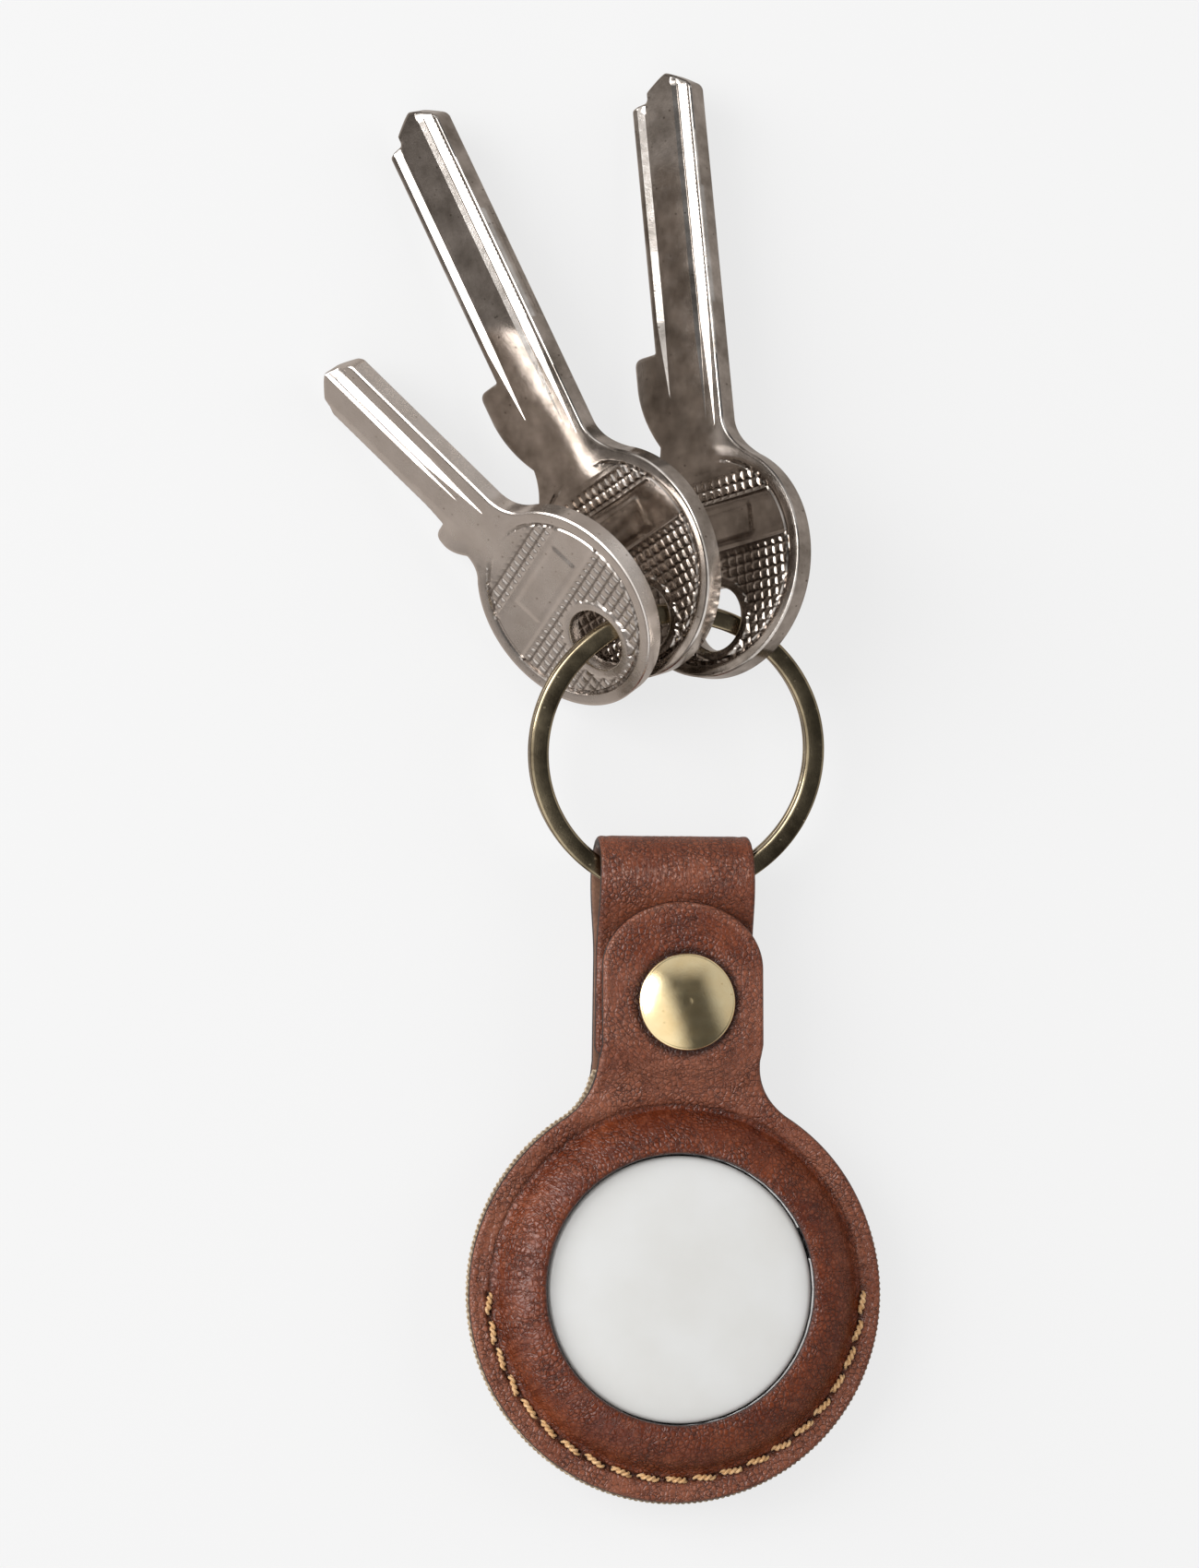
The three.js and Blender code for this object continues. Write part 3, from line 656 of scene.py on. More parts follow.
def from_snap(x, y):
    """How far a point lies from the press stud's axis."""
    return np.hypot(x - SNAP_X, y - SNAP_Y)


def finish_piece(made, slot, body, *nodes):
    """Hangs a piece on the body it rides on and hides the nodes that it replaces. What it is made of is not
    used.
    """
    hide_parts(*nodes)
    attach(made, body)


# ---- leather outlines ----
def neck_centre():
    x = STRAP_HALF + NECK_FILLET
    return x, BODY_Y + math.sqrt((BODY_R + NECK_FILLET) ** 2 - x * x)


def mirrored(right_side):
    """A closed outline from its right-hand half, which runs from the bottom to the top."""
    left = right_side[::-1] * np.array([-1, 1])
    return np.vstack([right_side, left])


def body_side():
    """The right side of the round body and its neck, from the bottom up to the start of the strap."""
    nx, ny = neck_centre()
    turn = math.degrees(math.atan2(ny - BODY_Y, nx))
    body = arc(0, BODY_Y, BODY_R, BODY_R, -90, turn)
    neck = arc(nx, ny, NECK_FILLET, NECK_FILLET, 180 + turn, 180)
    return np.vstack([body, neck])


def front_outline():
    """The front leather's outline. Its tab stands a little to the right of the strap's middle."""
    ny = neck_centre()[1]
    body = body_side()
    right, left = TAB_X + TAB_HALF, TAB_X - TAB_HALF
    low = ny + 1.5
    tab = [
        line((STRAP_HALF, ny), (right, low)),
        line((right, low), (right, TAB_ROUND_Y)),
        arc(TAB_X, TAB_ROUND_Y, TAB_HALF, TAB_ROUND_H, 0, 180),
        line((left, TAB_ROUND_Y), (left, low)),
        line((left, low), (-STRAP_HALF, ny)),
    ]
    return resampled(np.vstack([body, *tab, body[::-1] * np.array([-1, 1])]), STEP)


def strap_line():
    """The strap's middle line in the YZ plane from the neck round the fold to the strap's end."""
    bottom, top = MID_Z - FOLD_R, MID_Z + FOLD_R
    y = LOOP_Y
    bend = y - 8.2
    parts = [
        line((STRAP_FROM, BACK_Z), (bend, BACK_Z), 0.2),
        bezier((bend, BACK_Z), (y - 5, BACK_Z), (y - 3.2, bottom), (y, bottom), count=50),
        arc(y, MID_Z, FOLD_R, FOLD_R, -90, 90, 0.1),
        bezier((y, top), (y - 3.2, top), (y - 5, FRONT_Z), (bend, FRONT_Z), count=50),
        line((bend, FRONT_Z), (STRAP_END_Y, FRONT_Z), 0.2),
        [(STRAP_END_Y, FRONT_Z)],
    ]
    return np.vstack(parts)


STRAP = strap_line()
STRAP_AT = STRAP_FROM + run_lengths(STRAP)


def strap_half(v):
    """Half the strap's width, which narrows a little from the neck to the fold."""
    y = np.interp(v, STRAP_AT, STRAP[:, 0])
    start, end = 18.5, LOOP_Y + 5
    return STRAP_HALF - (STRAP_HALF - FOLD_HALF) * np.clip((y - start) / (end - start), 0, 1)


def back_outline():
    """The back leather laid flat: the body, the neck and the whole length of the strap."""
    end, corner_r = STRAP_AT[-1], 0.8
    v = np.arange(neck_centre()[1], end - corner_r, STEP)
    side = np.stack([strap_half(v), v], 1)
    corner = arc(float(strap_half(end)) - corner_r, end - corner_r, corner_r, corner_r, 0, 90, 0.15)
    return resampled(mirrored(np.vstack([body_side(), side, corner])), STEP)


# ---- front leather: the moulded ring, the flange and the tab in one sheet ----
def dome_profile():
    """The ring's middle surface from the window's lip to the crease, as radius and height."""
    z, radius, turn = MID_Z + 0.3, 3.95, math.radians(25)
    top = arc(WINDOW_R, z, radius, radius, 90, 25, 0.1)
    last = (WINDOW_R + radius * math.cos(turn), z + radius * math.sin(turn))
    end = (CREASE_R + 0.15, FRONT_Z)
    return np.vstack([top, bezier(last, (17.05, FRONT_Z + 0.02), end, count=20), [end]])


DOME = dome_profile()


def front_height(x, y):
    """The middle surface: the moulded ring, the flange and the tab that rises over the strap's end."""
    r = np.hypot(x, y)
    ring = np.where(r < CREASE_R + 0.15, np.interp(r, DOME[:, 0], DOME[:, 1]), FRONT_Z)
    flare = NECK_LIFT * smooth(3, 17.5, y) * smooth(15.4, 19.2, r)
    return ring + flare + (TAB_LIFT - NECK_LIFT) * smoother(17.6, 24.3, y)


def seam_relief(x, y):
    """How far the seam and its stitch holes draw the surface in, in the half below the window."""
    r, angle = np.hypot(x, y), np.degrees(np.arctan2(y, x))
    along = smooth(3, -3, angle) * smooth(183, 177, np.where(angle < -90, -angle, 0)) * (angle < 3)
    groove = 0.16 * bump(r - SEAM_R, 0.32)
    pitch = 180 / STITCHES
    middle = (np.mod(angle, pitch) - pitch / 2) / pitch
    span = math.radians(pitch) * SEAM_R
    hole_gap = np.abs(np.abs(middle) - 0.35) * span
    holes = HOLE_DEEP * bump(np.hypot(r - SEAM_R, hole_gap), 0.3)
    lower = np.where((angle < 1.0) & (angle > -179.9), 1.0, 0.0)
    return np.where(y < 1.5, along, 0) * groove + lower * holes


def sheet_tones(x, y, distance):
    """How much painted shade, moulded colour and painted highlight the front leather has at each point, and
    the direction of its wrinkles.
    """
    r, angle = np.hypot(x, y), np.arctan2(y, x)
    away = from_snap(x, y)
    # painted shade: darker along the crease, in the seam's holes, round the cap and at the window's lip
    crease = 0.3 * bump(r - CREASE_R + 0.05, 0.16) * smooth(-1, 4, y)
    seam = 0.75 * np.clip(seam_relief(x, y) / HOLE_DEEP, 0, 1)
    cap = 0.85 * smooth(CAP_R + 0.9, CAP_R + 0.05, away)
    lip = 0.35 * smooth(WINDOW_R + 0.5, WINDOW_R, r)
    # painted highlight: paler along the tab's shoulder edges and on the left slope of the moulded ring
    shoulder = 0.55 * bump(distance - 0.2, 0.13) * smooth(14, 19, y) * smooth(5.5, 2.0, x)
    from_left = np.degrees(np.arccos(np.clip(-(x * 0.94 - y * 0.34) / r, -1, 1)))
    left = 0.13 * smooth(62, 15, from_left) * smooth(13.6, 15.0, r) * smooth(20, 18.5, r)
    tab_top = 0.85 * smooth(29.5, 32.5, y) * smooth(0.2, 1.2, distance)
    mould = np.maximum(smooth(CREASE_R + 0.3, CREASE_R - 0.3, r), tab_top)
    ring = np.stack([np.cos(angle) * 17, np.sin(angle) * 17, r * 0.45], 1)
    cap_pull = smooth(9, 5.2, away)[:, None]
    straight = np.stack([x * 0.55, y * 1.25, 0 * x], 1)
    around = np.stack([x * 0.45, y * 1.7, away * 0.9], 1)
    outer = straight * (1 - cap_pull) + around * cap_pull
    inner = smooth(CREASE_R + 0.2, CREASE_R - 0.2, r)[:, None]
    return {
        "deep": np.clip(crease + seam + cap + lip, 0, 0.9),
        "mould": mould,
        "painted_highlight": np.maximum(shoulder, left),
        "flow": ring * inner + outer * (1 - inner),
    }


def thickness_at(distance, half, radius):
    """Half a sheet's thickness, drawn in along its rounded edge."""
    inwards = np.clip(radius - distance, 0, radius)
    return half - radius + np.sqrt(radius * radius - inwards * inwards)


def leather_body(name, faces, middle, distance, relief, attributes, grain_below=False):
    """A leather sheet about its middle surface, with the relief pressed into its grain side."""
    normal = vertex_normals(middle, faces)
    thick = thickness_at(distance, LEATHER / 2, 0.36)[:, None]
    pressed = thick - relief[:, None]
    if grain_below:
        top, bottom, looks = middle + normal * thick, middle - normal * pressed, (1, 0, 2)
    else:
        top, bottom, looks = middle + normal * pressed, middle - normal * thick, (0, 1, 2)
    edges = border_edges(faces)
    along = middle[edges[:, 1]] - middle[edges[:, 0]]
    side = np.zeros_like(middle)
    for k in range(2):
        np.add.at(side, edges[:, k], np.cross(along, normal[edges[:, k]]))
    length = np.linalg.norm(side, axis=1)
    bulge = side / np.where(length > 0, length, 1)[:, None] * 0.07
    points, shape, kinds = slab(top, bottom, faces, bulge)
    rim = np.unique(edges)
    full = {key: np.concatenate([v, v, v[rim]]) for key, v in attributes.items()}
    return mesh_object(name, points, shape, [GRAIN, FLESH, EDGE], [looks[k] for k in kinds], full)


def profile_radii(profile, start, step, crease, fine):
    """Radii at even steps along a profile, then closer together from the crease outwards."""
    slope = run_lengths(profile)
    radii = np.interp(np.arange(start, slope[-1], step), slope, profile[:, 0])
    return np.concatenate([radii[radii < crease], np.arange(crease, 18.95, fine)])


def sheet_plan(outer, holes, rings, fill):
    """Triangles through rows along the sheet's edge, rings on the round body and an even fill elsewhere."""
    edge = dense(outer)
    rings = rings[inside(rings, outer)]
    rings = rings[distances(rings, edge) > 0.2]
    border = offset_rings(outer, (0.05, 0.13, 0.24, 0.4, 0.62, 0.88))
    border = border[np.hypot(*border.T) > BODY_EDGE - 0.08]
    fill = fill[inside(fill, outer)]
    fill = fill[distances(fill, edge) > 1.05]
    plan, faces = triangulated(outer, holes, np.vstack([rings, border, fill]))
    return plan, faces, distances(plan, edge)


def grain_pits(flow, coarse, fine, seed):
    """Shallow waves along the wrinkles' direction, of two sizes."""
    return coarse * rippled(flow, 1.1, seed) + fine * rippled(flow, 2.6, seed + 1)


def front_leather():
    window = arc(0, 0, WINDOW_R, WINDOW_R, 0, -360, 0.226)
    radii = profile_radii(DOME, 0.5, 0.25, 17.5, 0.12)
    radii = np.concatenate([[WINDOW_R + d for d in (0.04, 0.1, 0.18, 0.3)], radii])
    fill = grid((-20.3, -20.6), (20.3, 37.5), 0.27)
    fill = fill[np.hypot(*fill.T) > BODY_EDGE]
    rings = concentric(radii, radii * math.radians(0.8))
    plan, faces, edge_gap = sheet_plan(front_outline(), [window], rings, fill)
    x, y = plan.T
    r = np.hypot(x, y)
    distance = np.minimum(edge_gap, np.abs(r - WINDOW_R))
    middle = np.stack([x, y, front_height(x, y)], 1)
    attributes = sheet_tones(x, y, edge_gap)
    seat = 0.22 * bump(from_snap(x, y) - CAP_R, 0.55)
    edge_press = 0.05 * bump(distance - 0.95, 0.25) * smooth(18.3, 18.8, r)
    pits = smooth(0, 0.6, distance) * grain_pits(attributes["flow"], 0.035, 0.02, 1)
    relief = seam_relief(x, y) + pits + seat + edge_press
    relief += 0.07 * bump(r - CREASE_R, 0.2) * smooth(-2, 4, y)
    made = leather_body("front_leather", faces, middle, distance, relief, attributes)
    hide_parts("front_panel", "snap_tab")
    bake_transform(made)


# ---- back leather: the moulded cup, the flange and the folded strap in one sheet ----
def cup_profile():
    """The cup's middle surface from its flat bottom to the flange."""
    low, turn, end = LEATHER / 2, (16.93, 4.1), (CREASE_R + 0.1, BACK_Z)
    parts = [
        [(0, low)],
        line((0.5, low), (8.6, low), 0.5),
        bezier((8.6, low), (13.15, low), (16.55, 2.05), turn, count=60),
        bezier(turn, (17.1, BACK_Z), end, count=14),
        [end],
    ]
    return np.vstack(parts)


CUP = cup_profile()


def back_middle(x, v):
    """Where a point of the flat pattern lies on the finished holder."""
    r = np.hypot(x, v)
    z = np.where(r < CREASE_R + 0.1, np.interp(r, CUP[:, 0], CUP[:, 1]), BACK_Z)
    on_strap = v > 20
    y = np.where(on_strap, np.interp(v, STRAP_AT, STRAP[:, 0]), v)
    z = np.where(on_strap, np.interp(v, STRAP_AT, STRAP[:, 1]), z)
    return np.stack([x, y, z], 1)


def back_leather():
    radii = profile_radii(CUP, 7.5, 0.32, 17.45, 0.14)
    rings = concentric(radii, np.maximum(radii, 12) * math.radians(1.0))
    fill = grid((-20.3, -20.6), (20.3, STRAP_AT[-1]), 0.3)
    radius = np.hypot(*fill.T)
    fill = fill[(radius > BODY_EDGE) | (radius < 7.3)]
    plan, faces, distance = sheet_plan(back_outline(), [], rings, fill)
    x, v = plan.T
    r, away = np.hypot(x, v), from_snap(x, v)
    middle = back_middle(x, v)
    folded = smooth(LOOP_Y - 6, LOOP_Y - 1, v) * smooth(LOOP_Y + 20, LOOP_Y + 12, v)
    flow = np.stack([x * (0.9 + 0.9 * folded), v * (0.9 - 0.45 * folded), 0 * x], 1)
    pits = smooth(0, 0.6, distance) * grain_pits(flow, 0.03, 0.018, 3)
    relief = seam_relief(x, v) + pits + 0.05 * bump(distance - 0.95, 0.25)
    relief += 0.2 * bump(away - 3.5, 0.5)
    # painted shade in the stitch holes, along the edges and round the stud's rivet head
    deep = 0.75 * np.clip(seam_relief(x, v) / HOLE_DEEP, 0, 1) + 0.3 * smooth(0.4, 0, distance)
    attributes = {
        "deep": np.clip(deep + 0.6 * smooth(4.4, 3.5, away), 0, 0.9),
        "mould": np.maximum(0.9 * smooth(CREASE_R + 0.3, CREASE_R - 0.3, r), 0.55 * folded),
        # painted highlight: a pale band along the top of the fold
        "painted_highlight": 0.5 * bump(middle[:, 1] - LOOP_Y - 0.2, 1.0) * (middle[:, 2] > MID_Z),
        "flow": flow,
    }
    made = leather_body("back_leather", faces, middle, distance, relief, attributes, grain_below=True)
    finish_piece(made, "leather", "holder", "back_panel")


# ---- lining with a beaded edge ----
def lining():
    """The cloth between the leathers. Its beaded edge shows past them."""
    side = body_side()
    side = side[side[:, 1] < 21.2]
    step, bead_length = 0.09, 0.55
    outer = resampled(mirrored(side), step)
    before, after = np.roll(outer, 1, 0), np.roll(outer, -1, 0)
    along = after - before
    normal = np.stack([along[:, 1], -along[:, 0]], 1) / np.linalg.norm(along, axis=1)[:, None]
    at = np.arange(len(outer)) * step
    flat_end = smooth(20.9, 20.2, outer[:, 1])
    bead = (0.1 + 0.15 * np.abs(np.sin(np.pi * at / bead_length))) * flat_end
    outer = outer + normal * bead[:, None]
    edge = dense(outer)
    rim = offset_rings(outer, (0.1, 0.25, 0.5))
    radii = np.concatenate([np.arange(1, 16, 1.0), [16.2, 16.35, 16.45, 16.6, 17, 17.6, 18.2, 18.8]])
    rings = concentric(radii, np.maximum(0.5, radii * math.radians(3)))
    fill = grid((-11, 17), (11, 21.5), 0.6)
    fill = fill[np.hypot(*fill.T) > BODY_EDGE + 0.1]
    inner = np.vstack([rings, fill])
    inner = inner[inside(inner, outer)]
    inner = inner[distances(inner, edge) > 0.7]
    plan, faces = triangulated(outer, [], np.vstack([rim, inner, [(0, 0)]]))
    r = np.hypot(*plan.T)
    low, lip = 1.42, 16.7
    parts = [
        [(0, low)],
        line((1, low), (8, low), 1),
        bezier((8, low), (12.6, low), (16.05, 2.8), (16.35, MID_Z - 0.1), count=40),
        [(lip, MID_Z)],
    ]
    cup = np.vstack(parts)
    middle = np.column_stack([plan, np.where(r < lip, np.interp(r, cup[:, 0], cup[:, 1]), MID_Z)])
    thick = vertex_normals(middle, faces) * (0.15 + 0.1 * smooth(0.5, 0.05, distances(plan, edge)))[:, None]
    points, shape, _ = slab(middle + thick, middle - thick, faces)
    finish_piece(mesh_object("lining_cloth", points, shape, [LINING]), "lining", "holder", "pocket_lining")


# ---- stitches: two twisted plies in each, sunk at both ends ----
def stitch(angle, height, up, spread, slant):
    """One stitch on the seam's circle, at the given middle angle."""
    half = 0.375 * math.pi / STITCHES * spread
    t = np.linspace(-1, 1, 22)
    turn = angle + t * half
    radius = SEAM_R + slant * t
    z = height - up * (0.55 * np.abs(t) ** 4 + 0.1 * t * t)
    path = np.stack([radius * np.cos(turn), radius * np.sin(turn), z], 1)
    along = np.gradient(path, axis=0)
    along /= np.linalg.norm(along, axis=1)[:, None]
    out, _ = upright(turn)
    upward = np.cross(out, along)
    upward /= np.linalg.norm(upward, axis=1)[:, None]
    spin = t * 1.75 * np.pi + angle * 9
    taper = (0.17 * (1 - 0.25 * t**4))[:, None]
    parts = []
    for ply in (0, np.pi):
        a, b = np.cos(spin + ply), np.sin(spin + ply)
        shift = 0.15 * (out * a[:, None] + upward * b[:, None])
        parts.append(tube(path + shift, circle(1, 9), (out * taper, upward * taper)))
    return joined(parts)


def stitches(name, height, up, node):
    rng = np.random.default_rng(7)
    middles = -np.pi * (np.arange(STITCHES) + 0.5) / STITCHES
    spreads, slants = rng.uniform(0.88, 1.02, STITCHES), rng.uniform(0.06, 0.24, STITCHES)
    points, faces = joined([stitch(a, height, up, w, s) for a, w, s in zip(middles, spreads, slants)])
    made = mesh_object(name, points, faces, [THREAD])
    outwards(made)
    finish_piece(made, "thread", "holder", node)


# ---- press stud ----
def turned_brass(name, corners, radius, body, node):
    """A closed brass ring about the stud's axis, from its section's corners as radius and height."""
    made = lathe(name, filleted(corners, radius), BRASS, (SNAP_X, SNAP_Y, 0), 72, True)
    finish_piece(made, "bright_brass", body, node)


def snap_cap():
    """The domed cap with a dimple at its crown, and its shank through the tab."""
    low = TAB_TOP - 0.02
    top = low + 1.36
    r = np.linspace(0.5, CAP_R - 0.2, 40)
    dome = np.stack([r, top - r * r / 23], 1)
    rim, side = dome[-1], (CAP_R, low + 0.2)
    parts = [
        [(0, top - 0.05), (0.15, top - 0.05), (0.34, top - 0.02)],
        dome,
        bezier(rim, (CAP_R + 0.04, rim[1] - 0.08), side, count=6),
        bezier(side, (CAP_R - 0.02, low + 0.04), (CAP_R - 0.3, low + 0.04), count=5),
        [(CAP_R - 0.5, low + 0.05), (1.35, low + 0.05), (1.35, TAB_UNDER - 0.2), (0, TAB_UNDER - 0.2)],
    ]
    made = lathe("snap_cap_dome", np.vstack(parts), BRASS, (SNAP_X, SNAP_Y, 0))
    finish_piece(made, "bright_brass", "tab", "snap_cap")


def snap_stud():
    """The foot and the waisted ball that the socket closes on."""
    z = STRAP_TOP + 0.02
    bore, top = 1.5, z + 1.58
    foot = [(bore, z), (3.6, z), (3.6, z + 0.3), (1.9, z + 0.42)]
    ball = [(1.78, z + 0.95), (1.98, z + 1.28), (1.75, top), (bore, top)]
    turned_brass("snap_stud_ball", foot + ball, 0.14, "holder", "snap_stud")


def snap_post():
    """The rivet head behind the strap and the barrel that goes up through both of its layers."""
    under, over = STRAP_BACK - 0.5, STRAP_BACK + 0.02
    bore, tube_r, top = 0.9, 1.35, STRAP_TOP + 0.85
    head = [(bore, under + 0.12), (1.05, under), (3.2, under), (3.5, under + 0.22), (3.45, over)]
    barrel = [(tube_r, over), (tube_r, top), (bore, top)]
    turned_brass("snap_post_rivet", head + barrel, 0.12, "holder", "snap_post")


def snap_socket():
    """The cup under the tab, with a groove inside for its spring."""
    z = TAB_UNDER - 0.03
    mouth, groove_r = 2.45, 2.85
    outside = [(mouth, z - 1.5), (3.2, z - 1.5), (3.35, z - 0.38), (3.9, z - 0.3), (3.9, z), (1.95, z)]
    shelf = [(1.95, z - 0.2), (mouth, z - 0.2), (mouth, z - 0.4)]
    spring_groove = [(groove_r, z - 0.42), (groove_r, z - 0.88), (mouth, z - 0.9)]
    turned_brass("snap_socket_cup", outside + shelf + spring_groove, 0.1, "tab", "snap_socket")


def socket_spring():
    out, up = upright(np.radians(np.linspace(-60, 240, 70)))
    path = np.array([SNAP_X, SNAP_Y, TAB_UNDER - 0.7]) + 2.6 * out
    spring = mesh_object("socket_spring_wire", *tube(path, circle(0.16, 12), (out, up)), [SPRING])
    outwards(spring)
    finish_piece(spring, "spring_steel", "tab", "socket_spring")


# ---- split ring ----
REACH = RING_R - RING_SEAT
RING_CENTRE = np.array([0, LOOP_Y + REACH * math.cos(RING_TILT), MID_Z + REACH * math.sin(RING_TILT)])
TILT = np.array(Matrix.Rotation(RING_TILT, 3, "X"))


def rounded_section(wide, thick, radius, steps):
    corners = [(-wide / 2, -thick / 2), (wide / 2, -thick / 2), (wide / 2, thick / 2), (-wide / 2, thick / 2)]
    return filleted(corners, radius, steps)


def split_ring():
    """One flat wire wound twice, which climbs from its first turn to its second at the crossover."""
    turn = np.arange(CROSSOVER, 720.01, 1.5)
    climb = smooth(360, 360 + CROSSOVER, turn)
    height = (climb - 0.5) * (WIRE_THICK + COIL_GAP)
    out, up = upright(np.radians(turn - 90 - CROSSOVER / 2))
    path = RING_R * out + height[:, None] * up
    points, faces = tube(path, rounded_section(WIRE_WIDE, WIRE_THICK, 0.36, 7), (out, up))
    made = mesh_object("split_ring_wire", points @ TILT.T + RING_CENTRE, faces, [OLD_BRASS])
    outwards(made)
    finish_piece(made, "antique_brass", "ring", "split_ring")


# ---- keys ----
# Sizes from the bow's centre, with y towards the tip. A milled blank has square edges, and the other one
# has a ground bevel with teeth. Each groove: its left and right edges, the widths of its left and right
# walls, where its point is, how far on it has its full size, and its depth.
LARGE_KEY = dict(
    bow=11.25, hole=5.7, hole_r=3.05, right=3.35, left=-4.4, neck=12.4, neck_left=-4.95,
    shoulder_low=18.4, shoulder_high=21.7, shoulder_out=-7.1, tip=49.0, milled=True,
    grooves=[
        (0.95, 1.65, 0.4, 0.15, 13.4, 9, 0.36),
        (1.8, 2.82, 0.75, 0.15, 12.6, 11, 0.42),
        (-3.7, -2.3, 0.6, 0.25, 16.6, 8, 0.40),
    ],
)
SMALL_KEY = dict(
    bow=10.35, hole=4.4, hole_r=3.05, right=3.7, left=-3.6, neck=10.9, neck_left=-4.2,
    shoulder_low=13.3, shoulder_high=14.8, shoulder_out=-5.5, tip=32.85, milled=False,
    grooves=[
        (0.3, 0.85, 0.25, 0.15, 14.5, 6, 0.25),
        (1.0, 2.6, 0.6, 0.3, 11.5, 8, 0.5),
    ],
)
BACK_GROOVE = (-2.0, -0.4, 0.3, 0.3, 14.0, 6, 0.5)
KEY_HALF = 1.0  # half the blank's thickness
RIM_WIDE = 1.15
KNURL_DEEP = 0.09
PLAQUE_HIGH = 0.07


def key_outline(k):
    """Anticlockwise outline about the bow's centre, with y towards the tip."""
    flare = k["bow"] * 0.84
    side = math.sqrt(k["bow"] ** 2 - flare**2)
    turn = math.degrees(math.atan2(flare, side))
    tip, right, left, out = k["tip"], k["right"], k["left"], k["shoulder_out"]
    low, high, neck = k["shoulder_low"], k["shoulder_high"], k["neck"]
    parts = [
        arc(0, 0, k["bow"], k["bow"], 180 - turn, 360 + turn),
        bezier((side, flare), (right + 0.2, neck - 1), (right, neck + 1)),
        line((right, neck + 1), (right, tip - 2.2)),
        bezier((right, tip - 2.2), (right - 0.1, tip - 1.8), (right - 0.5, tip - 1.5), count=5),
        bezier((right - 0.5, tip - 1.5), (0.6, tip), (0.2, tip)),
        bezier((0.2, tip), (-0.3, tip), (-2.4, tip - 1.3)),
        line((-2.4, tip - 1.3), (-2.9, tip - 2.1)),
        line((-2.9, tip - 2.1), (left, tip - 2.6)),
        line((left, tip - 2.6), (left, high)),
        line((left, high), (out + 0.9, high)),
        bezier((out + 0.9, high), (out, high), (out, high - 0.9), count=6),
        line((out, high - 0.9), (out, low)),
        bezier((out, low), (out + 0.2, (neck + low) / 2), (k["neck_left"], neck), count=16),
        bezier((k["neck_left"], neck), (k["neck_left"] - 0.2, neck - 1.6), (-side, flare), count=16),
    ]
    return resampled(np.vstack(parts), 0.2)


def ridge(x, centre, half, soft=0.1):
    """One within half of the centre, and falling to nothing over the soft width."""
    return smooth(half + soft, half, np.abs(x - centre))


def knurl(x, y):
    """Small raised squares, one to a millimetre each way."""
    a = np.abs(np.mod(x, 1.0) - 0.5)
    b = np.abs(np.mod(y, 1.0) - 0.5)
    return smooth(0.5, 0.3, a) * smooth(0.5, 0.3, b)


def groove(x, y, spec):
    """A milled groove that narrows and rises to a point towards the bow."""
    left, right, left_wall, right_wall, start, sweep, deep = spec
    grown = np.clip((y - start) / sweep, 0, 1)
    middle = (left + right) / 2
    at = middle + (x - middle) / np.maximum(grown, 1e-6)
    across = np.minimum((at - left) / left_wall, (right - at) / right_wall)
    return deep * grown * np.clip(across, 0, 1)


def groove_edges(y, spec):
    """Where the edges of a groove's walls and floor lie across the blade at one height."""
    left, right, left_wall, right_wall, start, sweep, _ = spec
    grown = min(max((y - start) / sweep, 0), 1)
    middle = (left + right) / 2
    if grown < 0.04:
        return []
    return [middle + (x - middle) * grown for x in (left, left + left_wall, right - right_wall, right)]


def blade_face(k, x, y):
    """The grooves in the front of the blade, and the small key's ground and toothed bevel."""
    depth = sum(groove(x, y, spec) for spec in k["grooves"])
    if k["milled"]:
        return depth
    across = np.clip((k["left"] + 1.4 - x) / 1.5, 0, 1)
    reach = smooth(k["neck"] + 1.0, k["neck"] + 7, y)
    saw = 0.07 * np.abs(np.mod(y * 1.3 + x * 2.2, 1.0) - 0.5) * smooth(0, 0.2, across) * reach
    return depth + 0.62 * across * reach + saw


def blade_points(k):
    """Points in rows across the blade, on the edges of each groove and evenly between them."""
    plain = np.arange(k["shoulder_out"] + 0.6, k["right"] - 0.4, 0.3)
    near, far = np.arange(k["bow"] + 1.0, k["neck"] + 13, 0.22), np.arange(k["neck"] + 13, k["tip"], 0.45)
    points = []
    for y in np.concatenate([near, far]):
        edges = sum([groove_edges(y, spec) for spec in [*k["grooves"], BACK_GROOVE]], [])
        spare = [x for x in plain if all(abs(x - edge) > 0.13 for edge in edges)]
        points += [(x, y) for x in edges + spare]
    return np.array(points)


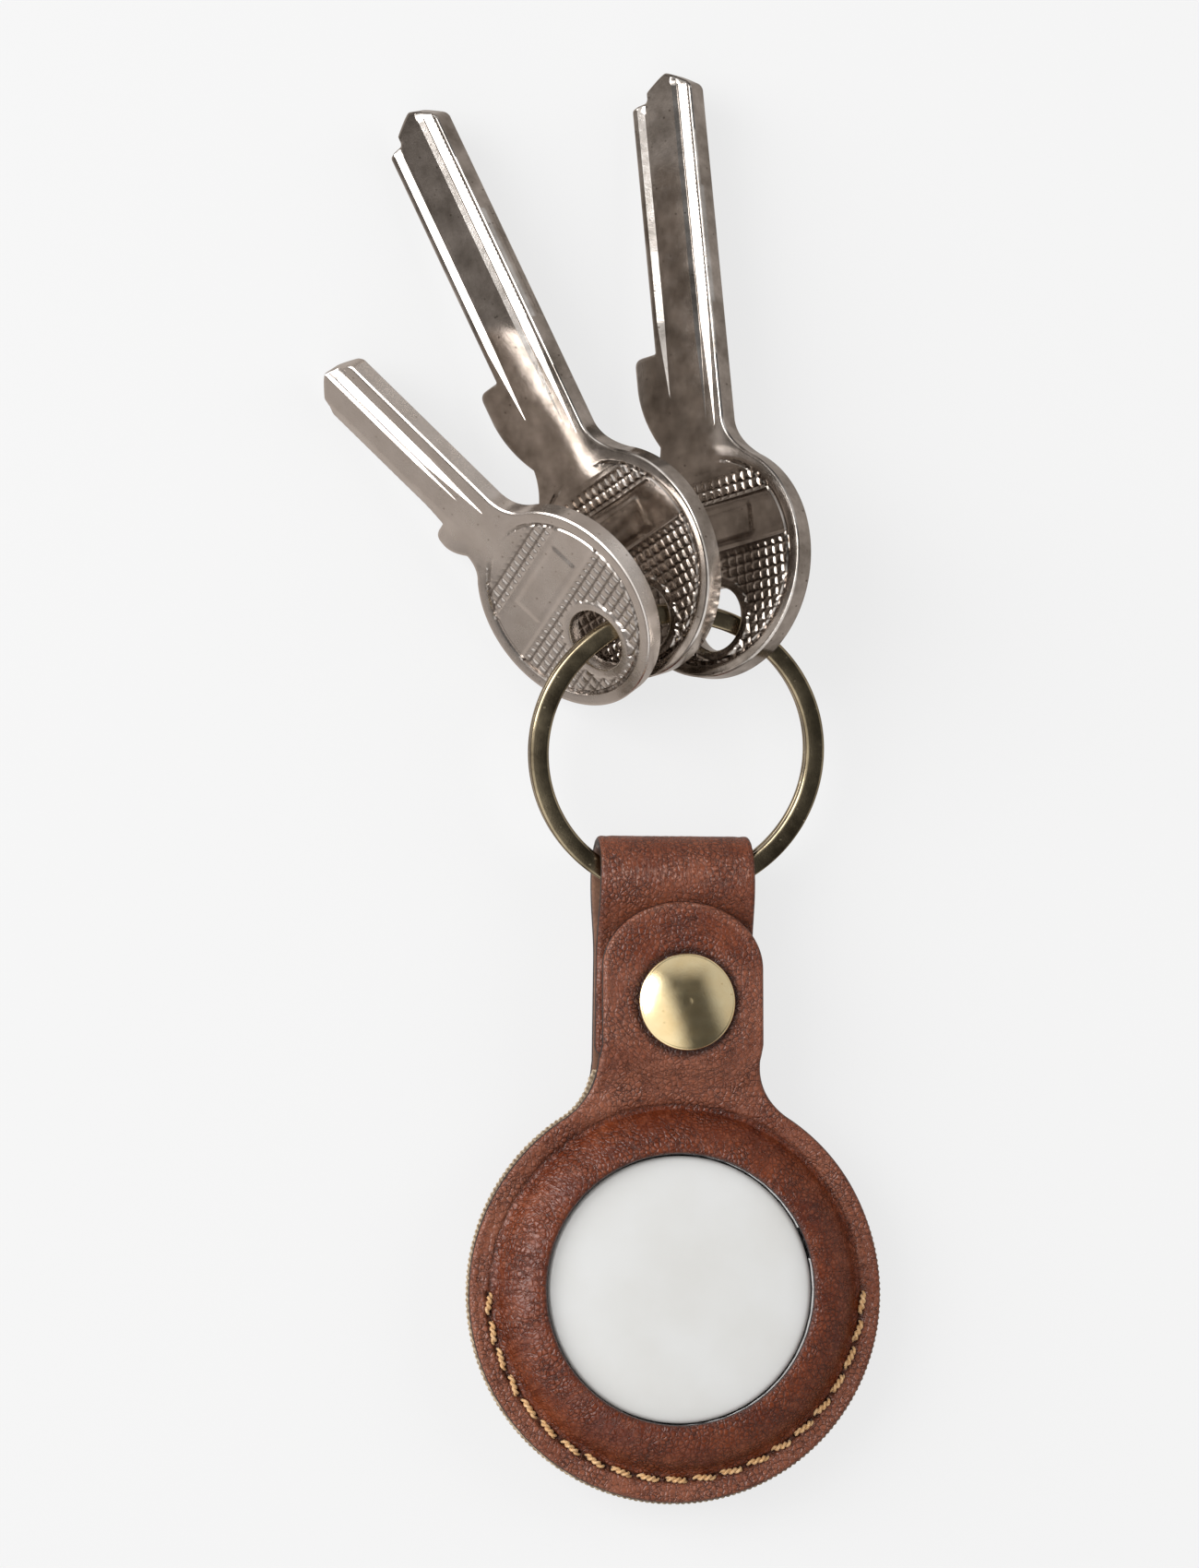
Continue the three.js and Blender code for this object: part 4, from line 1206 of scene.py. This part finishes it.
def key_face(k, x, y, back=False):
    """How far the face lies below the blank's flat side, and how much painted shade lies in its cuts and
    lines.
    """
    r = np.hypot(x, y)
    bow = k["bow"]
    hole = np.hypot(x, y + k["hole"])
    in_bow = smooth(bow - RIM_WIDE, bow - RIM_WIDE - 0.12, r)
    line_cut = 0.14 * ridge(r, bow - RIM_WIDE - 0.22, 0.14) * smooth(bow * 0.86, bow * 0.78, y)
    low, high, middle = 0.49 * bow, 0.70 * bow, 0.06 * bow
    strip = ridge(y, (low + high) / 2, (high - low) / 2 - 0.2)
    far = smooth(middle - 0.15, middle - 0.3, y)
    field = 0.10 * in_bow * smooth(high + 0.5, high + 0.35, y)
    pattern = (strip + far) * in_bow * smooth(k["hole_r"] + 0.95, k["hole_r"] + 1.05, hole)
    cuts = (1 - knurl(x, y + 0.1)) * pattern
    lines = (ridge(y, low, 0.13) + ridge(y, middle, 0.13) + ridge(y, high + 0.2, 0.13)) * in_bow
    boss = ridge(hole, k["hole_r"] + 0.5, 0.42, 0.12)
    depth = field + KNURL_DEEP * cuts + line_cut
    # painted shade: darker in the knurl cuts and the line cut
    painted_cut_shade = np.clip(0.85 * cuts + 4 * line_cut, 0, 0.9)
    depth = depth * (1 - np.clip(lines, 0, 1) * 0.75) * (1 - 0.8 * boss)
    plaque = ridge(x - 0.6, 0, 0.42 * bow, 0.2) * ridge(y, (low + middle) / 2, 0.13 * bow, 0.2)
    depth = depth - PLAQUE_HIGH * plaque
    from_neck = np.hypot(x + 2.9, (y - k["neck"] - 0.6) / 1.6)
    depth = depth + (0.25 * np.clip(1 - (r / bow) ** 2, 0, 1) + 0.13 * bump(from_neck, 2.6))
    return depth + (groove(x, y, BACK_GROOVE) if back else blade_face(k, x, y)), painted_cut_shade


def key(name, k, material, slot, body, node, at, heading, lean, dip):
    """A key blank on the ring at the angle at, pointing along heading, turned on edge by lean and dipped."""
    outer = key_outline(k)
    bow, hole_r, hole_y = k["bow"], k["hole_r"], -k["hole"]

    def from_hole(points):
        return np.hypot(points[:, 0], points[:, 1] - hole_y)

    hole = arc(0, hole_y, hole_r, hole_r, 0, -360, 0.2)
    border = offset_rings(outer, (0.06, 0.15, 0.27, 0.42))
    collar = concentric([hole_r + d for d in (0.07, 0.16, 0.28)], 0.2, hole_y)
    rim = concentric([bow - d for d in (0.7, 1.0, 1.15, 1.27, 1.38, 1.5, 1.64)], 0.2)
    edge = dense(outer)
    rim = rim[inside(rim, outer)]
    rim = rim[(distances(rim, edge) > 0.5) & (from_hole(rim) > hole_r + 0.4)]
    step = 0.2
    rows = np.arange(-int(bow / step) - 1, int((bow + 1) / step)) * step
    x, y = np.meshgrid(np.arange(-60, 61) * step, rows)
    fine = np.stack([x.ravel(), y.ravel() - 0.1], 1)
    ring_gap = np.abs(np.hypot(*fine.T) - (bow - 1.17)) > 0.58
    fine = fine[ring_gap | (fine[:, 1] > 0.8 * bow)]
    inner = np.vstack([fine, blade_points(k)])
    inner = inner[inside(inner, outer)]
    inner = inner[(distances(inner, edge) > 0.5) & (from_hole(inner) > hole_r + 0.36)]
    plan, faces = triangulated(outer, [hole], np.vstack([border, collar, rim, inner]))
    x, y = plan.T
    half = thickness_at(np.minimum(distances(plan, edge), np.abs(from_hole(plan) - hole_r)), KEY_HALF, 0.24)
    front, painted_cut_shade = key_face(k, x, y)
    back, _ = key_face(k, x, y, back=True)
    top = np.column_stack([x, y - hole_y, half - front])
    bottom = np.column_stack([x, y - hole_y, -half + back])
    points, shape, _ = slab(top, bottom, faces)
    painted_cut_shade = np.concatenate([painted_cut_shade, painted_cut_shade, np.zeros(len(points) - 2 * len(plan))])
    turn = Matrix.Rotation(math.radians(heading - 90), 3, "Z") @ Matrix.Rotation(math.radians(-dip), 3, "X")
    turn = np.array(turn @ Matrix.Rotation(math.radians(-lean), 3, "Y"))
    angle = math.radians(at)
    hang = TILT @ np.array([RING_R * math.cos(angle), RING_R * math.sin(angle), 0]) + RING_CENTRE
    made = mesh_object(name, points @ turn.T + hang, shape, [material], attributes={"painted_cut_shade": painted_cut_shade})
    made.data.set_sharp_from_angle(angle=math.radians(26))
    finish_piece(made, slot, body, node)


# ---- tracker cover ----
def tracker_cover():
    """The domed cover with a skirt, and its three lugs."""
    z = MID_Z
    shoulder, side, skirt, skirt_in = (COVER_R - 0.42, z + 3.66), (COVER_R, z + 3.3), 12.55, 12.25
    parts = [
        [(0, z + 4.0)],
        bezier((0.6, z + 3.999), (COVER_R * 0.7, z + 4.0), shoulder, count=30),
        bezier(shoulder, (COVER_R - 0.02, z + 3.58), side, count=7),
        [(COVER_R, z + 3.12), (skirt, z + 3.0), (skirt, z + 1.4), (skirt_in, z + 1.4), (skirt_in, z + 3.15)],
        bezier((12.2, z + 3.2), (8.0, z + 3.62), (0.5, z + 3.65), count=10),
        [(0, z + 3.65)],
    ]
    made = lathe("tracker_cover_disc", np.vstack(parts), COVER, segments=192)
    section = filleted([(12.3, 1.4), (13.2, 1.4), (13.2, 1.8), (12.3, 1.8)], 0.1, 2)
    path = np.tile([0, 0, z], (6, 1))
    angles = [np.radians(120 * i + np.linspace(-5.5, 5.5, 6)) for i in range(3)]
    lugs = mesh_object("cover_lugs", *joined([tube(path, section, upright(a)) for a in angles]), [COVER])
    outwards(lugs)
    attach(lugs, "cover")
    finish_piece(made, "cover_steel", "cover", "battery_cover")


# ---- CAD nodes that are shown as they are ----
def dress(node, material):
    slots = frame["nodes"][node].data.materials
    slots.clear()
    slots.append(material)


front_leather()
back_leather()
lining()
stitches("stitches_front", STRAP_TOP + 0.22, 1, "seam_thread_front")
stitches("stitches_back", STRAP_BACK - 0.22, -1, "seam_thread_back")
snap_cap()
snap_stud()
snap_post()
snap_socket()
socket_spring()
split_ring()
for side, k, material, slot, *pose in (
    ("small", SMALL_KEY, NICKEL, "nickel", 125, 134, 57, 11.7),
    ("middle", LARGE_KEY, SHADED_NICKEL, "dark_nickel", 102.5, 114, 52, 7.5),
    ("right", LARGE_KEY, SHADED_NICKEL, "dark_nickel", 72.6, 94, 50, 7.3),
):
    key(f"key_{side}_blank", k, material, slot, f"{side}_key", f"key_{side}", *pose)
tracker_cover()
for node, material in {
    "tracker_shell": WHITE,
    "battery_tray": GREY,
    "circuit_board": BOARD,
    "speaker_magnet": MAGNET,
    "voice_coil": COIL,
    "coin_battery": STEEL,
    "center_contact": CONTACT,
    "side_contact_a": CONTACT,
    "side_contact_b": CONTACT,
}.items():
    dress(node, material)


# ---- studio ----
def floor():
    size = 1.5
    below = -0.0001
    corners = [(x * size, y * size, below) for x, y in ((-1, -1), (1, -1), (1, 1), (-1, 1))]
    mesh = bpy.data.meshes.new("floor")
    mesh.from_pydata(corners, [], [(0, 1, 2, 3)])
    mesh.materials.append(floor_paper())
    made = bpy.data.objects.new("floor", mesh)
    bpy.context.scene.collection.objects.link(made)
    made.visible_glossy = False


SKY = 0.62  # how bright the walls are


def softbox(name, place, wide, high, watts):
    """A rectangular light at a place in metres, turned towards the origin."""
    data = bpy.data.lights.new(name, "AREA")
    data.shape = "RECTANGLE"
    data.size, data.size_y = wide, high
    data.energy = watts
    made = bpy.data.objects.new(name, data)
    bpy.context.scene.collection.objects.link(made)
    made.location = place
    made.rotation_mode = "QUATERNION"
    made.rotation_quaternion = (-Vector(place)).to_track_quat("-Z", "Y")
    return made


def surroundings():
    """Pale walls to the left, the right and the far side, dark overhead. Below the horizon the left is
    clouded and dark, and turns pale lower down and to the right."""
    world = bpy.data.worlds.new("studio")
    world.use_nodes = True
    n = Nodes(world.node_tree)
    place = n.node("ShaderNodeTexCoord").outputs["Generated"]
    x, y, z = n.node("ShaderNodeSeparateXYZ", {"Vector": place}).outputs
    across = n.math("ADD", x, n.math("MULTIPLY", y, 0.35))
    left = n.range(across, 0.04, -0.26, 0, 1.9 * SKY)
    right = n.range(across, 0.40, 0.66, 0, 0.95 * SKY)
    rise = n.range(y, 0.36, 0.6, 0.14 * SKY, 1.1 * SKY)
    far = n.math("MINIMUM", rise, n.range(y, 0.95, 0.75, 0.1 * SKY, 1.1 * SKY))
    sky = n.math("MAXIMUM", n.math("ADD", left, right), far)
    cloud = n.node("ShaderNodeTexNoise", {"Vector": place, "Scale": 9.0, "Detail": 4.0}).outputs["Fac"]
    dark = n.range(cloud, 0.42, 0.58, 0.05, 0.42)
    left_ground = n.between(n.range(z, -0.12, -0.26), dark, 0.52)
    ground = n.between(n.range(x, -0.1, 0.3), left_ground, 0.42)
    below = n.mix(1.0, (1.0, 0.91, 0.84), n.grey(ground), "MULTIPLY")
    light = n.mix(n.range(z, 0.14, 0.26), below, n.grey(sky))
    seen = n.node("ShaderNodeLightPath").outputs["Is Camera Ray"]
    background = world.node_tree.nodes["Background"]
    n.feed(background.inputs["Color"], n.mix(seen, light, (0.9, 0.9, 0.9)))
    bpy.context.scene.world = world


def camera():
    """The viewpoint: high above the holder, a little to its left."""
    place = np.array([-93.7, 3.2, 594.7])
    forward = Vector((0.145, 0.076, -0.986)).normalized()
    up = Vector((-0.0089, 0.9971, 0.0757))
    right = forward.cross(up).normalized()
    up = right.cross(forward)
    data = bpy.data.cameras.new("camera")
    data.lens = 142.1
    data.sensor_width = 36
    data.clip_start, data.clip_end = 0.01, 10
    made = bpy.data.objects.new("camera", data)
    bpy.context.scene.collection.objects.link(made)
    basis = Matrix((right, up, -forward)).transposed().to_4x4()
    made.matrix_world = Matrix.Translation(Vector((place + TAG) / 1000)) @ basis
    bpy.context.scene.camera = made


floor()
softbox("left_softbox", (-0.58, 0.16, 0.46), 0.45, 0.8, 6.5)
softbox("right_softbox", (0.55, 0.15, 0.5), 0.3, 0.5, 1.5).visible_glossy = False
surroundings()
camera()
bpy.context.scene.view_settings.view_transform = "Standard"
